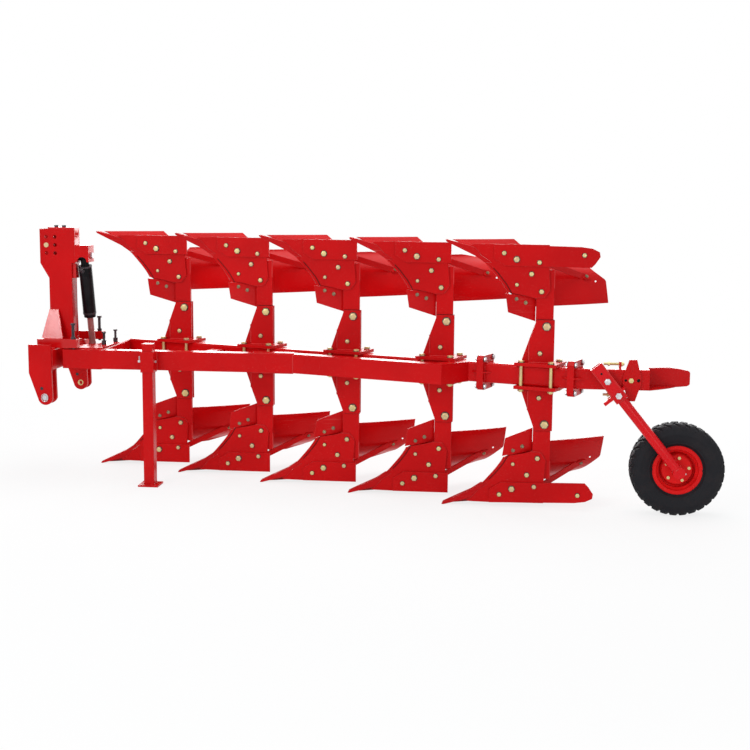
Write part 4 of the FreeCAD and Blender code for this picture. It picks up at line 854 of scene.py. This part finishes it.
for station in stations:
    for u, h in TRASH_BOLTS:
        place, back = face_place(h, reach_at(u, h, BACK_OF_TRASH), BACK_OF_TRASH)
        small_nut(on_body(station, place), back, 13.0, 10.0, 8.6, 15.0)
    for h, reach in SKIN_BOLTS:
        place, back = face_place(h, reach, 0.0)
        lathe(flush_heads, on_body(station, place), -back, [(-2.0, 11.0), (0.5, 11.0), (0.8, 10.2)], 20)
    for part in SHARE_BOLTS:
        place, back = share_place(part, SHARE_BOLT_DROP)
        lathe(flush_heads, on_body(station, place), -back, [(-2.0, 10.0), (0.8, 10.0), (1.1, 9.2)], 20)
    corners = [(603.0, 610.0), (641.0, 610.0), (641.0, 668.0), (603.0, 668.0)]
    rings = [[on_body(station, face_place(h, reach, depth)[0]) for h, reach in corners]
             for depth in (9.4, 17.0)]
    stay_feet.rings(rings if station[2] < 0 else [ring[::-1] for ring in rings])
    place, back = face_place(622.0, 646.0, 17.0)
    small_nut(on_body(station, place), back, 12.0, 9.5, 8.2, 16.0)
small_nuts.make("trash_board_and_stay_nuts", "frame", old_zinc)
stay_feet.make("stay_feet", "frame", plate_red)
flush_heads.make("plough_bolt_heads", "frame", steel)

# %% [markdown]
# ## The turnover cylinder's fittings
# The cylinder hangs askew between the mast and the crank, so its fittings are laid out
# upright and tilted with it. Each port has a hexagon, an elbow and a blanking cap: the
# plough stands uncoupled, with no hose on it. A dark collar rings each end of the barrel.

# %% Elbows on the ports
TILT = math.atan2(150.0, 700.0)


def on_cylinder(x, y, drop):
    """A place on the cylinder, before its tilt so far below its upper pin."""
    low_z = -drop
    tilted_y = y * math.cos(TILT) - low_z * math.sin(TILT)
    tilted_z = y * math.sin(TILT) + low_z * math.cos(TILT)
    return at(185.0 + x, tilted_y, 700.0 + tilted_z)


def tilted_way(x, y, z):
    return Vector((x, y * math.cos(TILT) - z * math.sin(TILT), y * math.sin(TILT) + z * math.cos(TILT)))


fittings = Shape()
for side, drop in ((-1, 97.0), (1, 146.0)):
    out = tilted_way(0, side, 0)
    hexagon = [(0, 14.5), (1, 15.5), (10, 15.5), (11, 14.5)]
    lathe(fittings, on_cylinder(0, side * 66.0, drop), out, hexagon, 6)
    rings = []
    for step in range(9):
        angle = math.radians(90 * step / 8)
        y = side * (78.0 + 16.0 * math.sin(angle))
        rise = 16.0 * (1 - math.cos(angle))
        way = tilted_way(0, side * math.cos(angle), math.sin(angle))
        rings.append(circle(on_cylinder(0, y, drop - rise), way, 8.0 * MM, 14))
    fittings.rings(rings)
    cap = on_cylinder(0, side * 94.0, drop - 14.0)
    rise = tilted_way(0, 0, 1)
    lathe(fittings, cap, rise, [(0, 11.5), (1, 12.5), (13, 12.5), (14, 11.0)], 6)
down = tilted_way(0, 0, -1)
lathe(fittings, on_cylinder(0, 0, 74.0), down, [(0, 44.0), (0, 47.2), (12, 47.2), (13, 46.0)], 40)
lathe(fittings, on_cylinder(0, 0, 416.0), down, [(0, 46.0), (1, 47.2), (14, 47.2), (14, 46.0)], 40)
fittings.make("cylinder_fittings", "cylinder", dark_steel)

# %% [markdown]
# Two nipples grease the turnover bearing from above, a linch pin with a spring ring keeps
# the near link pin in, and a small sunk screw locks a bush on the near face of each pair
# of link plates. All but the spring ring are turned forms, so the lathe makes them too.

# %% Grease nipples, linch pin and lock screws
trim = Shape()


def nipple(shape, seat, way):
    lathe(shape, seat, way, [(-1, 5.5), (4, 5.5), (4.5, 3.2), (8, 2.6), (9, 3.4), (11, 3.2), (12, 1.6)], 14)


nipple(trim, at(92.0, 0, 65.0), TOP)
nipple(trim, at(-90.0, 0, 65.0), TOP)
lathe(trim, at(28.0, -425.5, -284.0), TOP, [(0, 3.0), (1, 4.0), (53, 4.0), (54, 3.0)], 14)
turns = [math.tau * step / 36 for step in range(36)]
spring = [at(28.0 + 23.0 * math.sin(a), -425.5 - 4.0, -257.0 + 27.0 * math.cos(a)) for a in turns]
hoop(trim, spring, 2.0)
trim.make("nipples_and_linch_pin", "headstock", steel)
lock_screws = Shape()
for face_y in (-415.0, 310.0):
    profile = [(-1, 11.0), (1.6, 11.0), (2.4, 10.0), (2.4, 6.0), (0.6, 5.6)]
    lathe(lock_screws, at(4.0, face_y, -195.0), NEAR, profile, 20)
lock_screws.make("bush_lock_screws", "headstock", dark_steel)

# %% [markdown]
# ## The tyre
# The solid tyre is a plain ring. The real one has a rounded side wall with moulded
# ridges and two rows of thick tread lugs, set half a step apart. Both are made round
# the axle as rings of points, and the new tyre stands for the solid one.

# %% Tyre
AXLE_WAY = Vector((0, 1, 0))
TYRE_RADIUS = 295.0
LUGS = 30


def on_wheel(radius, y, angle):
    return axle + Vector((radius * math.cos(angle), y, radius * math.sin(angle))) * MM


wall = [(140, 52), (147, 57), (160, 62), (168, 70), (172, 77), (177, 80), (181, 79), (190, 83.5)]
wall += [(212, 88), (228, 89), (233, 90.4), (239, 90), (243, 88.4), (256, 86), (268, 81), (277, 73)]
wall += [(282, 62), (284, 30), (285, 0)]
carcass = wall + [(radius, -y) for radius, y in reversed(wall[:-1])]
carcass += [(146, -44), (190, -72), (225, -78), (255, -66), (262, 0)]
carcass += [(255, 66), (225, 78), (190, 72), (146, 44)]
tyre = Shape()
WALL_STEPS = 96
angles = [math.tau * step / WALL_STEPS for step in range(WALL_STEPS)]
tyre.rings([[on_wheel(radius, y, angle) for radius, y in carcass] for angle in angles], closed=True)
lug = [(262, 80), (265, 84.5), (276, 80), (286, 73), (292, 64), (TYRE_RADIUS, 50), (TYRE_RADIUS, 8)]
lug += [(278, 4), (274, 60)]
for number in range(LUGS):
    for side in (-1, 1):
        middle = math.tau * (number + (0.5 if side > 0 else 0.0)) / LUGS
        rings = []
        for share in (-1, -0.86, 0.86, 1):
            ring = []
            for radius, y in lug:
                width = math.radians(3.6 if y > 60 else 4.3)
                lean = math.radians(7.0) * (1 - y / 88)
                drop = 2.0 if abs(share) == 1 and radius > 280 else 0.0
                ring.append(on_wheel(radius - drop, side * y, middle + lean + share * width))
            rings.append(ring if side > 0 else ring[::-1])
        tyre.rings(rings)
tyre_piece = tyre.make("tyre_with_tread", "wheel", tyre_black, 28)
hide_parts("tyre")

# %% [markdown]
# The rim's pressed edge is rolled over, and the disc is welded into it. A valve stands in
# the deep ring, and a nipple on the hub's face greases the axle.

# %% Rolled edge, disc seam and valve


def round_the_axle(radius, y):
    return [on_wheel(radius, y, math.tau * step / 72) for step in range(72)]


rim_trim = Shape()
for side in (-1, 1):
    for radius, y, size in ((153.5, 60.0, 4.2), (131.0, 44.0, 2.2)):
        hoop(rim_trim, round_the_axle(radius, side * y), size)
bead(rim_trim, round_the_axle(92.0, -28.5), 2.4, closed=True)
rim_trim.make("rim_edges", "wheel", wheel_red)
valve = Shape()
foot = on_wheel(110.0, 0.0, math.radians(120))
stem = [(-4, 6.0), (4, 6.0), (8, 4.4), (26, 4.0), (27, 5.0), (36, 5.0), (37, 3.8)]
lathe(valve, foot, -AXLE_WAY, stem, 16)
valve.make("tyre_valve", "wheel", tyre_black)
hub_nipple = Shape()
nipple(hub_nipple, on_wheel(62.0, -38.0, math.radians(-27)), -AXLE_WAY)
hub_nipple.make("hub_nipple", "wheel", steel)

# %% [markdown]
# The arm is a channel welded to a round tube, and the tube to the knuckle on the axle.
# The arm's line runs from its pivot to the axle, so seams are placed along that line, and
# two thin ribs along the near edges of the channel.

# %% Seams of the wheel arm
arm_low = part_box("wheel_arm")[0]
arm_pivot = at(3802.0, 0, 0)
arm_y = arm_low.y + 33.0 * MM
ARM_TUBE = 32.5
start = Vector((arm_pivot.x, arm_y, arm_pivot.z))
end = Vector((axle.x, arm_y, axle.z))
arm_way = (end - start).normalized()
arm_across = Vector((-arm_way.z, 0, arm_way.x))
knuckle = (end - start).length / MM - 24.0
arm_seams = Shape()
for far, size in ((150.0, 4.5), (knuckle, 4.0)):
    bead(arm_seams, circle(start + arm_way * far * MM, arm_way, ARM_TUBE * MM, 36), size, closed=True)
for offset in (-37.0, 37.0):
    edge = arm_across * offset * MM + Vector((0, -ARM_TUBE * MM, 0))
    ribs = [circle(start + arm_way * far * MM + edge, arm_way, 4.0 * MM, 10) for far in (-112.0, 138.0)]
    arm_seams.rings(ribs)
arm_seams.make("arm_seams", "arm", seam_red)

# %% [markdown]
# The long ear that meets the stop screw is a thick flat bar on the real arm, so a second
# bar is laid along the solid one.

# %% Thick ear of the wheel arm
ear = Shape()
ear_rings = []
for far in (103.5, 115.0):
    corners = [(-38.0, -32.0), (-104.0, -32.0), (-104.0, 32.0), (-38.0, 32.0)]
    middle_line = start + arm_way * far * MM
    ear_rings.append([middle_line + arm_across * side * MM + AXLE_WAY * y * MM for side, y in corners])
ear.rings(ear_rings)
ear.make("arm_ear_bar", "arm", arm_red)

# %% [markdown]
# ## The wheel's bracket
# A six-sided plate on the beam's face carries the arm. The real plate is slimmer than the
# solid one and has two wide holes, so it is drawn again, with a black disc of painted shade
# behind each hole where the beam's inside lies in shade. Each half of the plate is a closed
# band between a hole and the half's outline: rays from the hole's middle find the outline,
# corners included. The boss, the pin and the two lugs for the stop screws belong to the
# same piece.

# %% Bracket of the wheel arm
bracket_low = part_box("wheel_bracket")[0]
PIN_REACH = 108.6
HEX_PLATE = 15.0
HEX_LAG = 151.0
bracket_face = bracket_low.y + PIN_REACH * MM
halves = [
    ([(0, 131), (-14, 131), (-52, 22), (-52, -22), (-13, -131), (0, -131)], -33.0, 8.5),
    ([(0, -131), (27, -131), (62, -22), (62, 22), (33, 131), (0, 131)], 46.0, 11.0),
]


def on_bracket(x, depth, z):
    """A place at x behind the arm's pivot, so far before the beam's face, and so high."""
    return Vector((arm_pivot.x + x * MM, bracket_face - depth * MM, arm_pivot.z + z * MM))


def outline_reach(outline, middle, angle):
    """How far the outline lies from the middle, looking along the angle."""
    ray = (math.cos(angle), math.sin(angle))
    for (x0, z0), (x1, z1) in zip(outline, outline[1:] + outline[:1]):
        side = (x1 - x0, z1 - z0)
        turn_of_both = ray[0] * side[1] - ray[1] * side[0]
        if abs(turn_of_both) < 1e-9:
            continue
        reach = ((x0 - middle) * side[1] - z0 * side[0]) / turn_of_both
        share = ((x0 - middle) * ray[1] - z0 * ray[0]) / turn_of_both
        if reach > 0 and -1e-6 <= share <= 1 + 1e-6:
            return reach


bracket = Shape()
hole_shade_discs = Shape()
for outline, middle, hole in halves:
    angles = [math.tau * step / 28 for step in range(28)]
    angles += [math.atan2(z, x - middle) % math.tau for x, z in outline]
    band = []
    for angle in sorted(angles):
        far = outline_reach(outline, middle, angle)
        around = [(far, HEX_PLATE), (far, 0.0), (hole, 0.0), (hole, HEX_PLATE)]
        band.append([on_bracket(HEX_LAG + middle + math.cos(angle) * away, depth, math.sin(angle) * away)
                     for away, depth in around])
    bracket.rings(band, closed=True)
    # A black disc of painted shade stands behind each hole.
    shade_disc = [(-2.0, hole - 0.4), (0.6, hole - 0.4)]
    lathe(hole_shade_discs, on_bracket(HEX_LAG + middle, 0, 0), NEAR, shade_disc, 28)
lathe(bracket, on_bracket(0, 0, 0), NEAR, [(0, 36.0), (24.0, 36.0)], 40)
lathe(bracket, on_bracket(0, 0, 0), NEAR, [(20.0, 18.0), (91.0, 18.0)], 28)
corners = [(-7.0, 64.0), (-53.0, 64.0), (-53.0, 114.0), (-7.0, 114.0)]
for side in (-1, 1):
    bracket.rings([[on_bracket(x, depth, side * z) for depth, z in corners] for x in (76.0, 90.0)])
bracket_piece = bracket.make("wheel_bracket_slim", "frame", gloss_red)
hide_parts("wheel_bracket")
hole_shade_discs.make("bracket_hole_shade", "frame", black)

# %% [markdown]
# The arm turns on a pin with a bright cap bolt, and the stub above it has a small hole
# for a spring clip, drawn as a black disc of painted shade. Both are turned forms on the
# near side.

# %% Cap bolt and clip hole of the wheel arm
cap_bolt = Shape()
lathe(cap_bolt, on_bracket(0, 90.6, 0), NEAR, [(0, 21.0), (11.0, 21.0), (13.5, 17.5), (14.5, 8.0)], 6)
cap_bolt.make("arm_cap_bolt", "frame", steel)
clip_hole_shade = Shape()
clip_seat = start - arm_way * 62.0 * MM + Vector((0, -33.0 * MM, 0))
# The black disc is painted shade in the clip hole.
lathe(clip_hole_shade, clip_seat, NEAR, [(-1.0, 7.0), (0.8, 7.0), (1.2, 6.0)], 16)
clip_hole_shade.make("arm_clip_shade_disc", "arm", black)

# %% [markdown]
# ## The open end of the beam
# The wheel's beam ends in an open tube: its near wall stops short, and the far wall runs
# on as a plate that bends outwards and narrows a little. A piece of the floor of the tube
# runs on with it as a gusset. The plate is drawn as slices from front to back, each with
# how far it has bent and how high it is, and stands for the solid one.

# %% Beam end
end_low, end_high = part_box("beam_end")
END_KICK = 52.0
END_PLATE = 12.0
END_FLOOR = 8.0
slices = [(0, 0, -64.9, 64.9), (130, 46.8, -64, 64.5), (205, 50, -59, 56), (252, 51.5, -54, 46)]
slices += [(264, 51.8, -48, 41), (270, 52, -40, 32)]
end_face = end_high.y - END_KICK * MM


def on_end(back, side, z):
    return Vector((end_low.x + back * MM, end_face + side * MM, pivot.z + z * MM))


def end_slice(back, near, far, foot, top):
    corners = ((near, foot), (near, top), (far, top), (far, foot))
    return [on_end(back, side, z) for side, z in corners]


end_plate = Shape()
end_plate.rings([end_slice(back, kick - END_PLATE, kick, foot, top) for back, kick, foot, top in slices])
floor_rings = []
for back, near, far in ((0, -124, -6), (60, -84, 16), (120, -36, 37), (175, 24, 42)):
    foot = -64.5 + back * 0.02
    floor_rings.append(end_slice(back, near, far, foot, foot + END_FLOOR))
end_plate.rings(floor_rings)
end_piece = end_plate.make("beam_end_open", "frame", gloss_red)
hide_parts("beam_end")

# %% [markdown]
# ## Light, floor and background
# The photograph has a plain white ground. The sky gives the object a soft, slightly cool
# light, and only the rays of the camera, of gloss and through glass see it as white.

# %% Sky
world = bpy.data.worlds.new("sky")
bpy.context.scene.world = world
world.use_nodes = True
sky = Graph(world.node_tree)
SOFT_LIGHT = 0.50
soft = sky.node("ShaderNodeBackground", {}, {"Color": (0.94, 0.97, 1.0, 1), "Strength": SOFT_LIGHT})
white = sky.node("ShaderNodeBackground", {}, {"Color": (1, 1, 1, 1), "Strength": 1.0})
both = sky.node("ShaderNodeMixShader", {}, {0: sky.seen_directly(), 1: soft, 2: white})
sky.finish_with("ShaderNodeOutputWorld", both)
print("soft sky of strength", SOFT_LIGHT)

# %% [markdown]
# Soft lamps stand for the studio. The one overhead gives the shadow under the plough, and
# the two beside the camera open the sides and the blades near the ground. The long one
# behind the plough is low, so the upper faces, which the camera sees at a flat angle,
# throw its light forward and turn pale. The small high one glints on the leaning plates
# of the mast's foot.

# %% Lamps


def softbox(name, place, target, width, height, watts):
    lamp = bpy.data.lights.new(name, "AREA")
    lamp.shape = "RECTANGLE"
    lamp.size = width
    lamp.size_y = height
    lamp.energy = watts
    box = bpy.data.objects.new(name, lamp)
    aim = (Vector(target) - Vector(place)).to_track_quat("-Z", "Y")
    box.matrix_world = Matrix.Translation(place) @ aim.to_matrix().to_4x4()
    box.visible_camera = False
    bpy.context.scene.collection.objects.link(box)
    print(name, watts, "W")


softbox("overhead", (0.4, 0.6, 6.5), (0, 0, 0), 6.0, 6.0, 260)
softbox("front", (-3.5, -9.0, 4.0), (0, 0, 0.6), 3.0, 3.0, 135)
softbox("low", (4.5, -8.5, 1.3), (0.8, 0, 0.5), 4.0, 2.2, 62)
softbox("behind", (0.0, 9.0, 2.6), (0, 0, 0.9), 14.0, 3.0, 640)
softbox("glint", (-5.71, -7.48, 6.81), (-2.2, -0.1, 1.0), 1.5, 1.5, 150)

# %% [markdown]
# The floor is matt and pale, and takes the shadow. The camera sees a share of it as plain
# white, and more of it the further it lies from the plough, so it runs into the white
# background without a horizon.

# %% Floor
FLOOR_HALF = 60.0
FLOOR_DROP = 0.0005
NEAR_WHITE = 0.80
floor_mesh = bpy.data.meshes.new("floor")
corners = [(a * FLOOR_HALF, b * FLOOR_HALF, 0) for a, b in ((-1, -1), (1, -1), (1, 1), (-1, 1))]
floor_mesh.from_pydata(corners, [], [(0, 1, 2, 3)])
floor = bpy.data.objects.new("floor", floor_mesh)
floor.location.z = -FLOOR_DROP
bpy.context.scene.collection.objects.link(floor)
ground = Finish("pale floor")
dusty = ground.mix(ground.noise(0.7, 3.0), (0.90, 0.90, 0.90), (0.86, 0.86, 0.86))
matt = ground.node("ShaderNodeBsdfDiffuse", {}, {"Color": dusty})
glow = ground.node("ShaderNodeEmission", {}, {"Color": (1, 1, 1, 1), "Strength": 1.0})
squeezed = ground.vectors("MULTIPLY", ground.place, (0.7, 1.0, 0))
distance = ground.vectors("LENGTH", squeezed, output="Value")
plain = NEAR_WHITE + (1 - NEAR_WHITE) * ground.between(distance, 1.6, 6.5)
mixed = ground.node("ShaderNodeMixShader", {}, {0: ground.seen_directly() * plain, 1: matt, 2: glow})
ground.finish_with("ShaderNodeOutputMaterial", mixed)
floor_mesh.materials.append(ground.material)
bpy.context.scene.view_settings.view_transform = "Standard"
print("floor ready")
